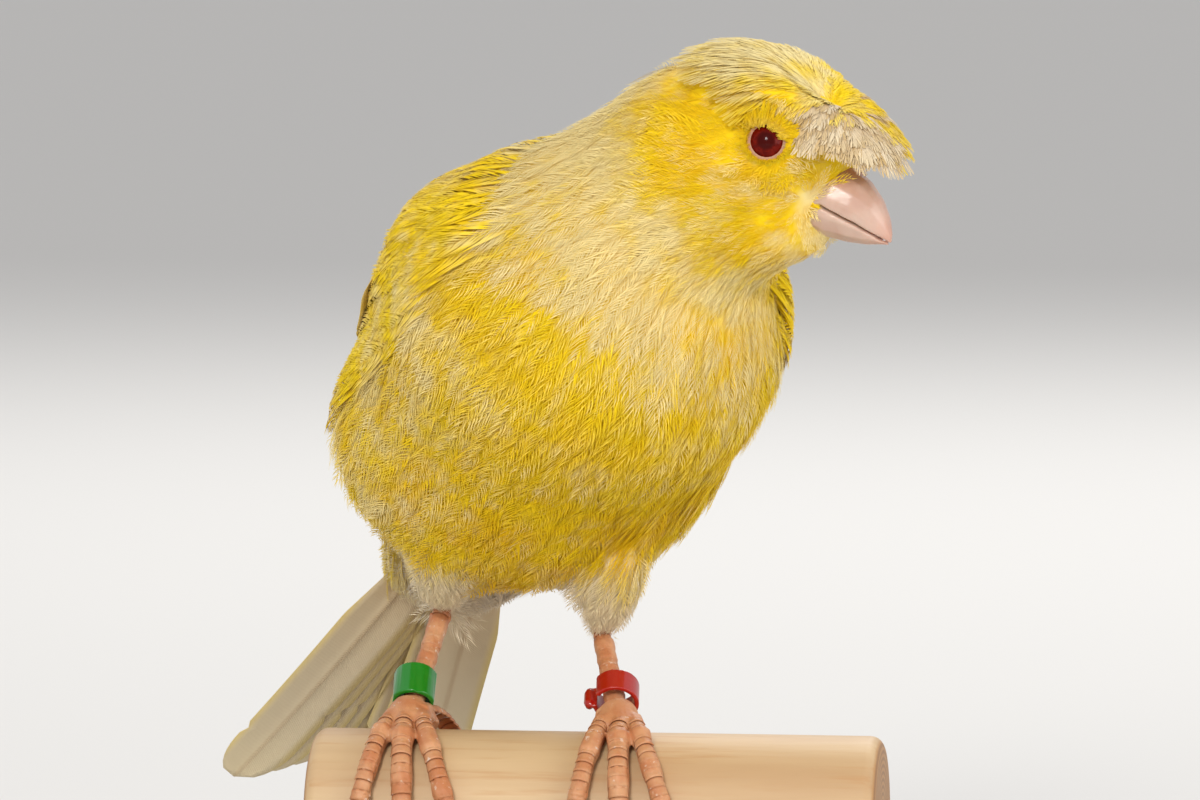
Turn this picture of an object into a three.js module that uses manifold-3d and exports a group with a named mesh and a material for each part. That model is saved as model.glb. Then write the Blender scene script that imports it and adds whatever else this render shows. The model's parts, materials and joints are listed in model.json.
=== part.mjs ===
// A crested canary, life size, standing on a short round wooden perch that a small stand holds up.
// Millimetres, +Z up, origin at the middle of the underside of the stand's base.
// The bird faces -Y, leans and turns its head to its own left (+X), and its tail hangs behind the perch.
import * as THREE from "three";
import { mergeVertices } from "three/addons/utils/BufferGeometryUtils.js";
import Module from "manifold-3d";

const wasm = await Module();
wasm.setup();

// Driving sizes of the stand and perch
const GAP = 0.3; // clear space between pieces that touch
const BASE_LENGTH = 92;
const BASE_WIDTH = 70;
const BASE_THICKNESS = 6;
const BASE_CORNER = 9;
const BASE_EDGE = 0.8;
const BASE_BACK = 8; // how far the base's middle lies behind the perch
const ROD_RADIUS = 2;
const ROD_SHOWN = 8; // free length between base and perch
const ROD_SPACING = 32;
const ROD_SUNK = 3.5; // depth of the rod's end in the base and in the perch
const PERCH_RADIUS = 8.7;
const PERCH_LENGTH = 57.4;
const PERCH_EDGE = 1.3; // rounding of the perch's ends
const PERCH_YAW = 8; // degrees, the +X end nearer the viewer
const PERCH_AXIS = new THREE.Vector3(-0.2, -BASE_BACK, BASE_THICKNESS + ROD_SHOWN + PERCH_RADIUS);

// Driving sizes of the bird. A frame's X is forward, Y is the bird's left and Z is its back.
const BODY_CENTRE = new THREE.Vector3(-4.2, 1.5, 45).add(PERCH_AXIS);
const BODY_TURN = { yaw: 22, pitch: 44, roll: -9 };
const HEAD_CENTRE = new THREE.Vector3(13.8, -17.5, 68.2).add(PERCH_AXIS);
const HEAD_TURN = { yaw: 62, pitch: -18, roll: 8 };
const TAIL_ROOT = new THREE.Vector3(-27, -1.5, 2); // in the body's frame
const TAIL_TURN = { yaw: 20.5, pitch: 35, roll: -12 }; // its forward direction, opposite to the feathers
const EYE_RADIUS = 2.3;
const EYE_PLACE = new THREE.Vector3(6.65, 7.6, 4.05); // in the head's frame, left eye
const SHORTEST_EDGE = 0.22; // in the joined solids
const BLEND = 6; // how widely the forms of flesh run into each other

const rad = THREE.MathUtils.degToRad;
const lerp = THREE.MathUtils.lerp;
const vec = (x, y, z) => new THREE.Vector3(x, y, z);

// Materials, from the photograph
const finish = (color, roughness, metalness = 0) =>
  new THREE.MeshStandardMaterial({ color, roughness, metalness });
const YELLOW = finish(0xf0cf2a, 0.85);
const PALE = finish(0xe9dcc4, 0.8);
const BILL = finish(0xe6bfae, 0.4);
const SKIN = finish(0xd89468, 0.6);
const CLAW = finish(0xe2c1ab, 0.45);
const EYE = finish(0x5a0f0c, 0.08);
const GREEN = finish(0x0c8a18, 0.35);
const RED = finish(0xb81408, 0.3);
const WOOD = finish(0xe2be8c, 0.7);
const BASE = finish(0x4a3527, 0.5);
const STEEL = finish(0xb8babd, 0.3, 1);

// Solids and meshes

// A closed geometry as a manifold-3d solid, facing out.
function solid(geometry) {
  const g = geometry.clone();
  g.deleteAttribute("normal");
  g.deleteAttribute("uv");
  const merged = mergeVertices(g, 1e-4);
  const triVerts = new Uint32Array(merged.index.array);
  const vertProperties = new Float32Array(merged.attributes.position.array);
  const made = new wasm.Manifold(new wasm.Mesh({ numProp: 3, vertProperties, triVerts }));
  if (made.volume() > 0) return made;
  for (let i = 0; i < triVerts.length; i += 3)
    [triVerts[i + 1], triVerts[i + 2]] = [triVerts[i + 2], triVerts[i + 1]];
  return new wasm.Manifold(new wasm.Mesh({ numProp: 3, vertProperties, triVerts }));
}

const join = (solids) => wasm.Manifold.union(solids);

// The largest closed surface of a solid: scraps and sealed hollows are dropped.
function largest(made) {
  return made.decompose().reduce((a, b) => (b.volume() > a.volume() ? b : a));
}

// Draws together the ends of edges that are too short, wherever that turns no face over.
function withoutShortEdges(points, faces, shortest) {
  const around = points.map(() => new Set());
  faces.forEach((face, f) => face.forEach((v) => around[v].add(f)));
  const neighbours = (v) => new Set([...around[v]].flatMap((f) => faces[f]));
  const normal = ([a, b, c]) => {
    const side = points[b].clone().sub(points[a]);
    return side.cross(points[c].clone().sub(points[a]));
  };
  const turnsOver = (face, gone, kept) => {
    const before = normal(face).normalize();
    const after = normal(face.map((v) => (v === gone ? kept : v)));
    return after.length() < 1e-5 || before.dot(after.normalize()) < 0.7;
  };
  const collapse = (gone, kept) => {
    const others = neighbours(kept);
    const shared = [...neighbours(gone)].filter((v) => v !== gone && v !== kept && others.has(v));
    const moving = [...around[gone]].filter((f) => !faces[f].includes(kept));
    if (shared.length !== 2 || moving.some((f) => turnsOver(faces[f], gone, kept))) return false;
    for (const f of [...around[gone]]) {
      const face = faces[f];
      face.forEach((v) => around[v].delete(f));
      if (face.includes(kept)) {
        faces[f] = null;
        continue;
      }
      face[face.indexOf(gone)] = kept;
      face.forEach((v) => around[v].add(f));
    }
    return true;
  };
  for (let changed = true; changed; ) {
    changed = false;
    for (let f = 0; f < faces.length; f++)
      for (const k of [0, 1, 2]) {
        if (!faces[f]) break;
        const [a, b] = [faces[f][k], faces[f][(k + 1) % 3]];
        if (points[a].distanceTo(points[b]) > shortest) continue;
        if (collapse(a, b) || collapse(b, a)) changed = true;
      }
  }
  return faces.filter((face) => face);
}

const inThrees = (list) =>
  Array.from({ length: list.length / 3 }, (_, i) => [list[3 * i], list[3 * i + 1], list[3 * i + 2]]);

function mesh(name, made, material, shortest = SHORTEST_EDGE) {
  const data = largest(made).getMesh();
  const points = inThrees(data.vertProperties).map((p) => vec(...p));
  const faces = inThrees(data.triVerts);
  const geometry = new THREE.BufferGeometry().setFromPoints(points);
  geometry.setIndex(withoutShortEdges(points, faces, shortest).flat());
  geometry.computeVertexNormals();
  const piece = new THREE.Mesh(geometry, material);
  piece.name = name;
  return piece;
}

// Keeps the side of a plane that its normal points to, half a gap away from it.
function keepSide(made, plane, sign) {
  const n = plane.normal.clone().multiplyScalar(sign);
  return made.trimByPlane([n.x, n.y, n.z], n.dot(plane.point) + GAP / 2);
}

// A closed skin through rings of points, all with the same count.
function loft(rings) {
  const count = rings[0].length;
  const points = rings.flat();
  const index = [];
  for (let r = 0; r + 1 < rings.length; r++)
    for (let i = 0; i < count; i++) {
      const a = r * count + i;
      const b = r * count + ((i + 1) % count);
      index.push(a, b, b + count, a, b + count, a + count);
    }
  for (const [ring, flip] of [[0, true], [rings.length - 1, false]]) {
    points.push(rings[ring].reduce((s, p) => s.add(p), vec(0, 0, 0)).divideScalar(count));
    for (let i = 0; i < count; i++) {
      const a = ring * count + i;
      const b = ring * count + ((i + 1) % count);
      index.push(...(flip ? [points.length - 1, b, a] : [points.length - 1, a, b]));
    }
  }
  return solid(new THREE.BufferGeometry().setFromPoints(points).setIndex(index));
}

// A frame that looks along yaw and pitch: yaw 0 is -Y and 90 is +X.
function frame(origin, { yaw, pitch, roll = 0 }) {
  const [y, p] = [rad(yaw), rad(pitch)];
  const forward = vec(Math.cos(p) * Math.sin(y), -Math.cos(p) * Math.cos(y), Math.sin(p));
  const left = vec(Math.cos(y), Math.sin(y), 0);
  const basis = new THREE.Matrix4().makeBasis(forward, left, forward.clone().cross(left));
  return basis.setPosition(origin).multiply(new THREE.Matrix4().makeRotationX(rad(roll)));
}

const BODY = frame(BODY_CENTRE, BODY_TURN);
const HEAD = frame(HEAD_CENTRE, HEAD_TURN);
const TAIL = frame(TAIL_ROOT.clone().applyMatrix4(BODY), TAIL_TURN);
const PERCH = new THREE.Matrix4().makeRotationZ(-rad(PERCH_YAW)).setPosition(PERCH_AXIS);
const at = (place, x, y, z) => vec(x, y, z).applyMatrix4(place);

// Forms of flesh: rounded lumps that run into each other

function lump(place, centre, radii, pitch = 0) {
  const m = place.clone().multiply(new THREE.Matrix4().makeTranslation(...centre));
  m.multiply(new THREE.Matrix4().makeRotationY(-rad(pitch)));
  return { inverse: m.invert(), radii };
}

// A lump that runs from one point to another, round about its own length.
function bone(from, to, radius, overrun = radius) {
  const along = to.clone().sub(from);
  const turn = new THREE.Quaternion().setFromUnitVectors(vec(1, 0, 0), along.clone().normalize());
  const m = new THREE.Matrix4().makeRotationFromQuaternion(turn);
  m.setPosition(from.clone().lerp(to, 0.5));
  return { inverse: m.invert(), radii: [along.length() / 2 + overrun, radius, radius] };
}

function lumpDistance({ inverse, radii }, point) {
  const p = point.clone().applyMatrix4(inverse).toArray();
  const k0 = Math.hypot(...p.map((c, i) => c / radii[i]));
  const k1 = Math.hypot(...p.map((c, i) => c / radii[i] ** 2));
  return (k0 * (k0 - 1)) / Math.max(k1, 1e-9);
}

function flesh(lumps, blend = BLEND) {
  return (point) =>
    lumps
      .map((l) => lumpDistance(l, point))
      .reduce((a, b) => {
        const h = Math.max(blend - Math.abs(a - b), 0) / blend;
        return Math.min(a, b) - (h * h * blend) / 4;
      });
}

// The surface of a form seen from a point inside it, grown by some millimetres.
function skinned(form, centre, detail, reach, grown = 0, stretch = [1, 1, 1], place = BODY) {
  const g = new THREE.IcosahedronGeometry(1, detail);
  g.deleteAttribute("normal");
  g.deleteAttribute("uv");
  const ball = mergeVertices(g, 1e-4);
  const position = ball.attributes.position;
  const turn = new THREE.Matrix4().extractRotation(place);
  const ray = vec(0, 0, 0);
  const probe = vec(0, 0, 0);
  for (let i = 0; i < position.count; i++) {
    ray.fromBufferAttribute(position, i).multiply(vec(...stretch)).applyMatrix4(turn).normalize();
    const inside = (r) => form(probe.copy(ray).multiplyScalar(r).add(centre)) < grown;
    let [low, high] = [0, 0.7];
    while (high < reach && inside(high)) [low, high] = [high, high + 0.7];
    high = Math.min(high, reach);
    for (let k = 0; k < 12; k++) {
      const middle = (low + high) / 2;
      if (inside(middle)) low = middle;
      else high = middle;
    }
    probe.copy(ray).multiplyScalar(low).add(centre);
    position.setXYZ(i, probe.x, probe.y, probe.z);
  }
  return solid(ball);
}

const slope = (form, p) => {
  const e = 0.05;
  const rise = (x, y, z) => form(vec(x, y, z).add(p)) - form(vec(-x, -y, -z).add(p));
  return vec(rise(e, 0, 0), rise(0, e, 0), rise(0, 0, e)).normalize();
};

const torsoLumps = [
  lump(BODY, [9, 0.5, -2.5], [18.5, 20.2, 17.5]), // breast
  lump(BODY, [-8, -0.6, -1.8], [17, 20.4, 15]), // belly
  lump(BODY, [11, 0, 0.4], [15, 15, 12.4]), // shoulders
  lump(BODY, [-22, 0, 1.5], [15, 10, 7.5], -4), // rump
];
const neckFrom = at(BODY, 16, 0, -1);
const neckTo = at(HEAD, -3, 0, -3);
const neckLumps = [bone(neckFrom, neckTo, 10.8, 3)];
const headLumps = [
  lump(HEAD, [-1.0, 0, -0.3], [11.4, 10, 8.6]), // skull
  lump(HEAD, [7.4, 0, 3.4], [5.2, 6.4, 3.0]), // cushion under the crest
  lump(HEAD, [5.0, 4.6, 2.4], [4.2, 3.2, 3.8]), // left brow
  lump(HEAD, [5.0, -4.6, 2.4], [4.2, 3.2, 3.8]), // right brow
  lump(HEAD, [-1.2, 3.8, -3.9], [7.6, 5.8, 6.4]), // left cheek
  lump(HEAD, [-1.2, -3.8, -3.9], [7.6, 5.8, 6.4]), // right cheek
  lump(HEAD, [4.4, 0, -1.2], [4.2, 4.2, 4.8]), // round the bill
  lump(HEAD, [7.2, 0, -6.0], [4.4, 3.0, 2.3]), // chin
];
const tailLumps = [lump(TAIL, [-5, 0, 0.4], [13, 6.6, 3.6])];
const wholeBird = flesh([...torsoLumps, ...neckLumps, ...headLumps, ...tailLumps]);
const torsoForm = flesh([...torsoLumps, ...neckLumps, ...tailLumps]);

// The planes of the cuts between torso, neck, head and tail; each normal points away from the torso.
const neckCut = { point: vec(5.4, -13, 57).add(PERCH_AXIS), normal: vec(0.56, -0.25, 0.79).normalize() };
const headCut = { point: vec(10.9, -16, 64).add(PERCH_AXIS), normal: vec(0.8, -0.15, 0.58).normalize() };
const midCut = { point: BODY_CENTRE, normal: at(BODY, 0, 1, 0).sub(BODY_CENTRE) };
const tailStart = at(TAIL, 0, 0, 0);
const tailCut = { point: tailStart, normal: at(TAIL, -1, 0, 0).sub(tailStart).normalize() };

function torso() {
  const whole = skinned(wholeBird, at(BODY, 2, 0, 0), 7, 46, 0, [1.3, 1, 0.95]);
  return keepSide(keepSide(whole, neckCut, -1), tailCut, -1);
}

function neck() {
  const middle = neckFrom.clone().lerp(neckTo, 0.55);
  const whole = skinned(wholeBird, middle, 5, 24);
  return keepSide(keepSide(whole, neckCut, 1), headCut, -1);
}

// Vanes: feathers as thin blades, wide in the middle and thinner at the tip

// Stations run from root to tip, each with its point, side and face directions and half width.
function vane(stations) {
  return loft(
    stations.map(({ point, side, face, half, edge }) => {
      const on = (s, n) => point.clone().addScaledVector(side, s).addScaledVector(face, n);
      return [on(-half, -edge), on(half, -edge), on(half, edge), on(-half, edge)];
    }),
  );
}

const steps = (count) => Array.from({ length: count + 1 }, (_, i) => i / count);

// The share of a vane's full width at t, with a rounded tip from t = full on.
const rounded = (t, full, least) => Math.sqrt(Math.max(least, 1 - Math.max(0, (t - full) / (1 - full)) ** 2));
const feather = (t) => Math.min(1, 0.45 + 1.7 * t) * rounded(t, 0.72, 0.02);

// A blade whose middle line is a function of t, with its face turned by tilt about that line.
function blade(line, facing, half, thickness, more = {}) {
  const { count = 4, stops = steps(count), tilt = 0, outline = feather, thin = 0.3 } = more;
  const stations = stops.map((t) => {
    const point = line(t);
    const along = line(t + 0.01).sub(line(t - 0.01)).normalize();
    const face = facing(t);
    face.addScaledVector(along, -face.dot(along)).normalize();
    face.applyAxisAngle(along, rad(tilt));
    const edge = (thickness / 2) * (1 - thin * t);
    return { point, side: along.clone().cross(face), face, half: half * outline(t), edge };
  });
  return vane(stations);
}

// Head with crest

const CREST_FORWARD = 8.7; // the crest's middle, where its feathers part
const CREST_TOP = 6.9;

// A value that runs from the front of the crest past its side to its back.
function roundCrest(angle, front, side, back) {
  const c = Math.cos(angle);
  return c > 0 ? lerp(side, front, c ** 1.2) : lerp(side, back, (-c) ** 1.6);
}

function crestFeather(angle, from, to, lift, half) {
  const reach = roundCrest(angle, 9.4, 8.3, 16.8);
  const rim = roundCrest(angle, 3.9, 5.0, 7.8);
  const swell = roundCrest(angle, 1.4, 2.9, 5.7);
  const line = (t) => {
    const s = lerp(from, to, t);
    const rise = CREST_TOP * (1 - s) ** 2 + 2 * (CREST_TOP + swell) * s * (1 - s) + rim * s * s;
    return at(HEAD, CREST_FORWARD + Math.cos(angle) * reach * s, Math.sin(angle) * reach * s, rise + lift);
  };
  const up = at(HEAD, 0, 0, 1).sub(HEAD_CENTRE);
  const width = half * roundCrest(angle, 0.95, 1.15, 1.75);
  return blade(line, () => up.clone(), width, 0.7, { tilt: 8, thin: 0.5 });
}

const CREST_TIERS = [
  { count: 22, from: 0.14, to: 1.0, lift: -0.4, half: 2.1 },
  { count: 15, from: 0.08, to: 0.74, lift: 0.1, half: 2.0 },
  { count: 8, from: 0.03, to: 0.46, lift: 0.5, half: 1.7 },
];

function crest() {
  return CREST_TIERS.flatMap(({ count, from, to, lift, half }, tier) =>
    steps(count)
      .slice(1)
      .map((s, i) => {
        const angle = (s + (0.37 * tier) / count) * 2 * Math.PI;
        const shorter = (0.05 * ((i * 7 + tier * 3) % 4)) / 3;
        return crestFeather(angle, from, to - shorter, lift, half);
      }),
  );
}

const eyeCentre = (side) => at(HEAD, EYE_PLACE.x, side * EYE_PLACE.y, EYE_PLACE.z);
const eyeFacing = (side) => at(HEAD, 0.3, side * 0.89, 0.34).sub(HEAD_CENTRE).normalize();

function ball(centre, radius, detail) {
  return solid(new THREE.IcosahedronGeometry(radius, detail)).translate(centre.toArray());
}

// A ring of given size, turned so that its hole faces a direction.
function ringOf(geometry, centre, facing) {
  const turn = new THREE.Quaternion().setFromUnitVectors(vec(0, 0, 1), facing);
  const g = geometry.clone().applyQuaternion(turn).translate(centre.x, centre.y, centre.z);
  return solid(g);
}

function lids(side) {
  const facing = eyeFacing(side);
  const centre = eyeCentre(side).addScaledVector(facing, 1.45);
  return ringOf(new THREE.TorusGeometry(1.95, 0.62, 5, 14), centre, facing);
}

// Bill: both halves from one closed form, parted along the mouth line. Rings run from head to tip.
const BILL_TIP = 18.3;
const BILL_RINGS = [
  // x forward, height of the ridge, height of the chin, half width
  [4.0, 1.9, -4.0, 3.3],
  [9.0, 2.2, -5.1, 3.7],
  [12.0, 2.0, -5.3, 3.5],
  [14.2, 1.3, -5.1, 2.8],
  [16.0, 0.1, -4.7, 2.0],
  [17.3, -1.4, -4.2, 1.15],
  [18.0, -2.7, -4.0, 0.5],
  [BILL_TIP, -3.6, -4.1, 0.15],
];
const MOUTH = [
  // the mouth line from the corner of the mouth to the tip, seen from the side
  [3.0, -4.3],
  [8.4, -4.0],
  [11.4, -1.6],
  [15.0, -2.5],
  [17.8, -3.6],
  [18.8, -4.5],
];

function billForm(grown) {
  const sides = 14;
  return loft(
    BILL_RINGS.map(([x, top, bottom, half], ring) =>
      steps(sides)
        .slice(1)
        .map((s) => {
          const [across, high] = [Math.sin(s * 2 * Math.PI), Math.cos(s * 2 * Math.PI)];
          const rise = ((top - bottom) / 2 + grown) * Math.sign(high) * Math.abs(high) ** 0.9;
          return at(HEAD, ring ? x : x - grown, (half + grown) * across, (top + bottom) / 2 + rise);
        }),
    ),
  );
}

// A thin slab that follows the mouth line right across the bill.
function mouthSlab() {
  const shape = new THREE.Shape();
  MOUTH.forEach(([x, z], i) => (i ? shape.lineTo(x, z + GAP / 2) : shape.moveTo(x, z + GAP / 2)));
  [...MOUTH].reverse().forEach(([x, z]) => shape.lineTo(x, z - GAP / 2));
  const g = new THREE.ExtrudeGeometry(shape, { depth: 12, bevelEnabled: false, steps: 1 });
  g.translate(0, 0, -6).rotateX(Math.PI / 2).applyMatrix4(HEAD);
  return solid(g);
}

function nostrils() {
  return join([-1, 1].map((side) => ball(at(HEAD, 11.2, side * 2.9, 1.0), 0.45, 1)));
}

function bill() {
  const halves = billForm(0).subtract(mouthSlab()).subtract(nostrils()).decompose();
  const up = at(HEAD, 0, 0, 1).sub(HEAD_CENTRE);
  const height = (made) => {
    const { min, max } = made.boundingBox();
    return vec(...min).add(vec(...max)).dot(up);
  };
  const parted = halves.filter((h) => h.volume() > 5).sort((a, b) => height(b) - height(a));
  return { upper: parted[0], lower: parted[parted.length - 1] };
}

function head() {
  const whole = skinned(wholeBird, at(HEAD, 0, 0, 0), 7, 26, 0, [1, 1, 1], HEAD);
  const sockets = [-1, 1].map((side) => ball(eyeCentre(side), EYE_RADIUS + GAP, 2));
  const skull = keepSide(whole, headCut, 1);
  const dressed = join([skull, ...crest(), lids(1), lids(-1)]);
  return keepSide(dressed, headCut, 1).subtract(join([...sockets, billForm(GAP)]));
}

// Wings, folded along the back

const coverForm = flesh([...torsoLumps, ...neckLumps, lump(BODY, [-38, 0, 3.5], [26, 8.5, 4.6], -6)], 6);

// The point of the bird's side at x along the body and an angle from the back, a height above the flesh.
function onSide(side, x, angle, height) {
  const a = rad(angle);
  const ray = vec(0, side * Math.sin(a), Math.cos(a));
  const probe = (r) => at(BODY, x, ray.y * r, 1 + ray.z * r);
  let [low, high] = [0, 42];
  for (let r = 42; r > 0; r -= 1) {
    if (coverForm(probe(r)) < height) {
      [low, high] = [r, r + 1];
      break;
    }
  }
  for (let k = 0; k < 10; k++) {
    const middle = (low + high) / 2;
    if (coverForm(probe(middle)) < height) low = middle;
    else high = middle;
  }
  return probe(low);
}

const ROOT_DEPTH = -0.9; // how deep a wing feather's root is sunk

// A wing feather from one place on the side to another: [x, angle] pairs.
function wingFeather(side, from, to, lift, half, { count = 4, tilt = 0 } = {}) {
  const spot = (t) => {
    const s = Math.min(1.01, Math.max(-0.01, t));
    return [lerp(from[0], to[0], s), lerp(from[1], to[1], s)];
  };
  const line = (t) => onSide(side, ...spot(t), lerp(ROOT_DEPTH, lift, Math.min(1, t / 0.3)));
  const face = (t) => slope(coverForm, line(t));
  return blade(line, face, half, 0.7, { count, tilt: -side * tilt });
}

// Rows of feathers: the first and the last one's root and tip as [x, angle], their lift, the half width
const PRIMARIES = {
  count: 6, roots: [[4, 76], [0, 58]], tips: [[-47, 24], [-30, 20]], lift: [0.5, 1.0], half: 2.6, segments: 4,
};
const SECONDARIES = {
  count: 5, roots: [[6, 64], [4, 44]], tips: [[-22, 46], [-21, 20]], lift: [0.9, 1.4], half: 3.1, segments: 4,
};
const TERTIALS = {
  count: 3, roots: [[5, 46], [5, 32]], tips: [[-17, 27], [-10, 18]], lift: [1.3, 1.6], half: 3.0, segments: 4,
};
const GREATER_COVERTS = {
  count: 5, roots: [[14, 76], [11, 40]], tips: [[-1, 70], [-4, 32]], lift: [0.9, 1.5], half: 3.1, segments: 3,
};
const LESSER_COVERTS = {
  count: 4, roots: [[18, 72], [16, 44]], tips: [[7, 70], [5, 38]], lift: [0.9, 1.2], half: 3.3, segments: 3,
};
const WING_ROWS = [PRIMARIES, SECONDARIES, TERTIALS, GREATER_COVERTS, LESSER_COVERTS];

function wing(side) {
  const feathers = WING_ROWS.flatMap(({ count, roots, tips, lift, half, segments }) =>
    steps(count - 1).map((s) => {
      const root = [lerp(roots[0][0], roots[1][0], s), lerp(roots[0][1], roots[1][1], s)];
      const tip = [lerp(tips[0][0], tips[1][0], s), lerp(tips[0][1], tips[1][1], s)];
      return wingFeather(side, root, tip, lerp(...lift, s), half, { tilt: 5, count: segments });
    }),
  );
  const arm = [
    wingFeather(side, [19, 68], [-8, 62], -0.2, 6.0, { count: 5 }),
    wingFeather(side, [18, 50], [-8, 46], 0, 6.0, { count: 5 }),
    wingFeather(side, [10, 58], [-22, 44], 0, 5.5, { count: 5 }),
  ];
  return keepSide(join([...feathers, ...arm]), midCut, side).subtract(bodyGrown);
}

// Tail: twelve feathers in a notched fan, the middle pair on top

const TAIL_FEATHERS = 12;
const TAIL_LENGTH = { middle: 50, outer: 58 };
const TAIL_SPREAD = 8; // degrees to each side

function tailFeather(i) {
  const s = ((i + 0.5) / TAIL_FEATHERS) * 2 - 1; // -1 at the bird's right edge, 1 at its left
  const angle = rad(TAIL_SPREAD * s);
  const length = lerp(TAIL_LENGTH.middle, TAIL_LENGTH.outer, Math.abs(s) ** 1.3);
  const line = (t) => {
    const r = 2 + (length - 2) * t;
    const across = 2.6 * s + r * Math.sin(angle) * (1 + 0.1 * t);
    return at(TAIL, -r * Math.cos(angle), across, 0.5 - 1.5 * Math.abs(s) + 1.2 * t * t);
  };
  const up = at(TAIL, 0, 0, 1).sub(tailStart);
  const outline = (t) => (0.5 + 0.5 * t) * rounded(t, 0.86, 0.04);
  const stops = [0, 0.45, 0.84, 0.95, 1];
  return blade(line, () => up.clone(), 3.4, 0.6, { tilt: 5 * Math.sign(s), outline, stops });
}

function tailCovert(s, top) {
  const angle = rad(6 * s);
  const length = top ? 17 : 21;
  const high = top ? 2.2 : -2.6;
  const across = (t) => 2.8 * s + length * Math.sin(angle) * t;
  const line = (t) => at(TAIL, -1 - length * t, across(t), high * (1 - 0.55 * t));
  const up = at(TAIL, 0, 0, top ? 1 : -1).sub(tailStart);
  return blade(line, () => up.clone(), 2.6, 0.8, { count: 3 });
}

function tail() {
  const root = keepSide(skinned(wholeBird, at(TAIL, -4, 0, 0.4), 3, 18, 0, [1, 1, 1], TAIL), tailCut, 1);
  const fan = steps(TAIL_FEATHERS - 1).map((_, i) => tailFeather(i));
  const coverts = [true, false].flatMap((top) => steps(4).map((s) => tailCovert(2 * s - 1, top)));
  return keepSide(join([root, ...fan, ...coverts]), tailCut, 1);
}

// Legs. Places are given in the perch's frame: X along it, Y behind it, Z above its axis.

const LEGS = {
  right: { knee: [-15.0, -4.5, 31], heel: [-17.2, 10.5, 20.6], foot: [-19.3, 0.4, 9.8], ring: [-0.35, 0, 0] },
  left: { knee: [2.6, -1.0, 29.5], heel: [-1.0, 9.0, 18.6], foot: [2.1, 0.2, 9.8], ring: [0, -0.3, 0] },
};
const SHANK_RADIUS = 0.74;
const FOOT_NECK = 1.5; // how far above the foot's middle the shank starts

const place = (p) => at(PERCH, ...p);

function thigh({ knee, heel }, grown = 0) {
  const [top, low] = [place(knee), place(heel)];
  const down = low.clone().sub(top).normalize();
  const calf = bone(top, low, 2.3, 1.4);
  const form = flesh([bone(top, low.clone().addScaledVector(down, -4.5), 3.4, 3.2), calf], 4);
  return skinned(form, top.clone().lerp(low, 0.55), 3, 16, grown).subtract(bodyGrown);
}

// A tube through points, each with a radius, with rings of the given sides.
function tube(points, radii, sides) {
  const rings = points.map((p, i) => {
    const before = points[Math.max(0, i - 1)];
    const after = points[Math.min(points.length - 1, i + 1)];
    const along = after.clone().sub(before).normalize();
    const turn = new THREE.Quaternion().setFromUnitVectors(vec(0, 0, 1), along);
    return steps(sides)
      .slice(1)
      .map((s) => vec(Math.cos(s * 2 * Math.PI), Math.sin(s * 2 * Math.PI), 0))
      .map((c) => c.multiplyScalar(radii[i]).applyQuaternion(turn).add(p));
  });
  return loft(rings);
}

function shankLine({ heel, foot }) {
  const [top, low] = [place(heel), place(foot)];
  const up = top.clone().sub(low).normalize();
  return { top, low, up, length: top.distanceTo(low) };
}

// The shank has overlapping plates, each a little wider at its lower edge.
function shank(leg) {
  const { low, up, length } = shankLine(leg);
  const plates = 7;
  const start = FOOT_NECK + GAP / 2;
  const points = [];
  const radii = [];
  for (let i = 0; i < plates; i++)
    for (const [share, grow] of [[0, 0.1], [0.85, 0]]) {
      const t = (i + share) / plates;
      points.push(low.clone().addScaledVector(up, lerp(start, length - 0.2, t)));
      radii.push(SHANK_RADIUS + grow + 0.3 * t ** 3 + 0.25 * (1 - t) ** 2);
    }
  return tube(points, radii, 8).subtract(thigh(leg, GAP));
}

// Toes: start along the perch, + to the bird's middle, its lean in mm per radian, degrees round the perch
const TOES = [
  { name: "inner", start: 1.0, lean: 2.4, from: 6, wrap: 84, radius: 0.95, joints: 2 },
  { name: "middle", start: -0.2, lean: 0, from: 6, wrap: 100, radius: 1.05, joints: 3 },
  { name: "outer", start: -1.1, lean: -2.6, from: 6, wrap: 86, radius: 0.95, joints: 3 },
  { name: "hind", start: 1.0, lean: 2.2, from: 4, wrap: -76, radius: 1.15, joints: 1 },
];
const TOE_SWING = 0.9; // mm per radian, turns all toes to the viewer's right
const CLAW_WRAP = 34; // degrees of perch that a claw spans

// A point on a toe's middle line, an angle round the perch from its top.
function toePoint(leg, toe, angle, radius, side) {
  const a = rad(angle);
  const x = leg.foot[0] - side * (toe.start + toe.lean * Math.abs(a)) + TOE_SWING * Math.abs(a);
  const r = PERCH_RADIUS + GAP + radius;
  return place([x, -r * Math.sin(a), r * Math.cos(a)]);
}

function toeTube(leg, toe, side) {
  const count = 11;
  const points = [];
  const radii = [];
  for (let i = 0; i <= count; i++) {
    const t = i / count;
    const knuckle = Math.cos(t * (toe.joints + 0.5) * 2 * Math.PI) * 0.12 + (i % 2 ? 0.05 : -0.03);
    const radius = toe.radius * (1 - 0.18 * t) + knuckle;
    points.push(toePoint(leg, toe, lerp(toe.from, toe.wrap, t), radius, side));
    radii.push(radius);
  }
  return tube(points, radii, 7);
}

function clawTube(leg, toe, side) {
  const count = 4;
  const sign = Math.sign(toe.wrap);
  const points = [];
  const radii = [];
  for (let i = 0; i <= count; i++) {
    const t = i / count;
    const radius = lerp(0.72, 0.18, t ** 1.2);
    const angle = toe.wrap + sign * (2.2 + CLAW_WRAP * t);
    const arch = 0.9 * Math.sin(Math.PI * Math.min(1, t * 1.15));
    points.push(toePoint(leg, toe, angle, radius + arch, side));
    radii.push(radius);
  }
  return tube(points, radii, 6);
}

const perchGrown = () => {
  const g = new THREE.CylinderGeometry(PERCH_RADIUS + GAP, PERCH_RADIUS + GAP, PERCH_LENGTH + 20, 48);
  return solid(g.rotateZ(Math.PI / 2).applyMatrix4(PERCH));
};

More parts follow.
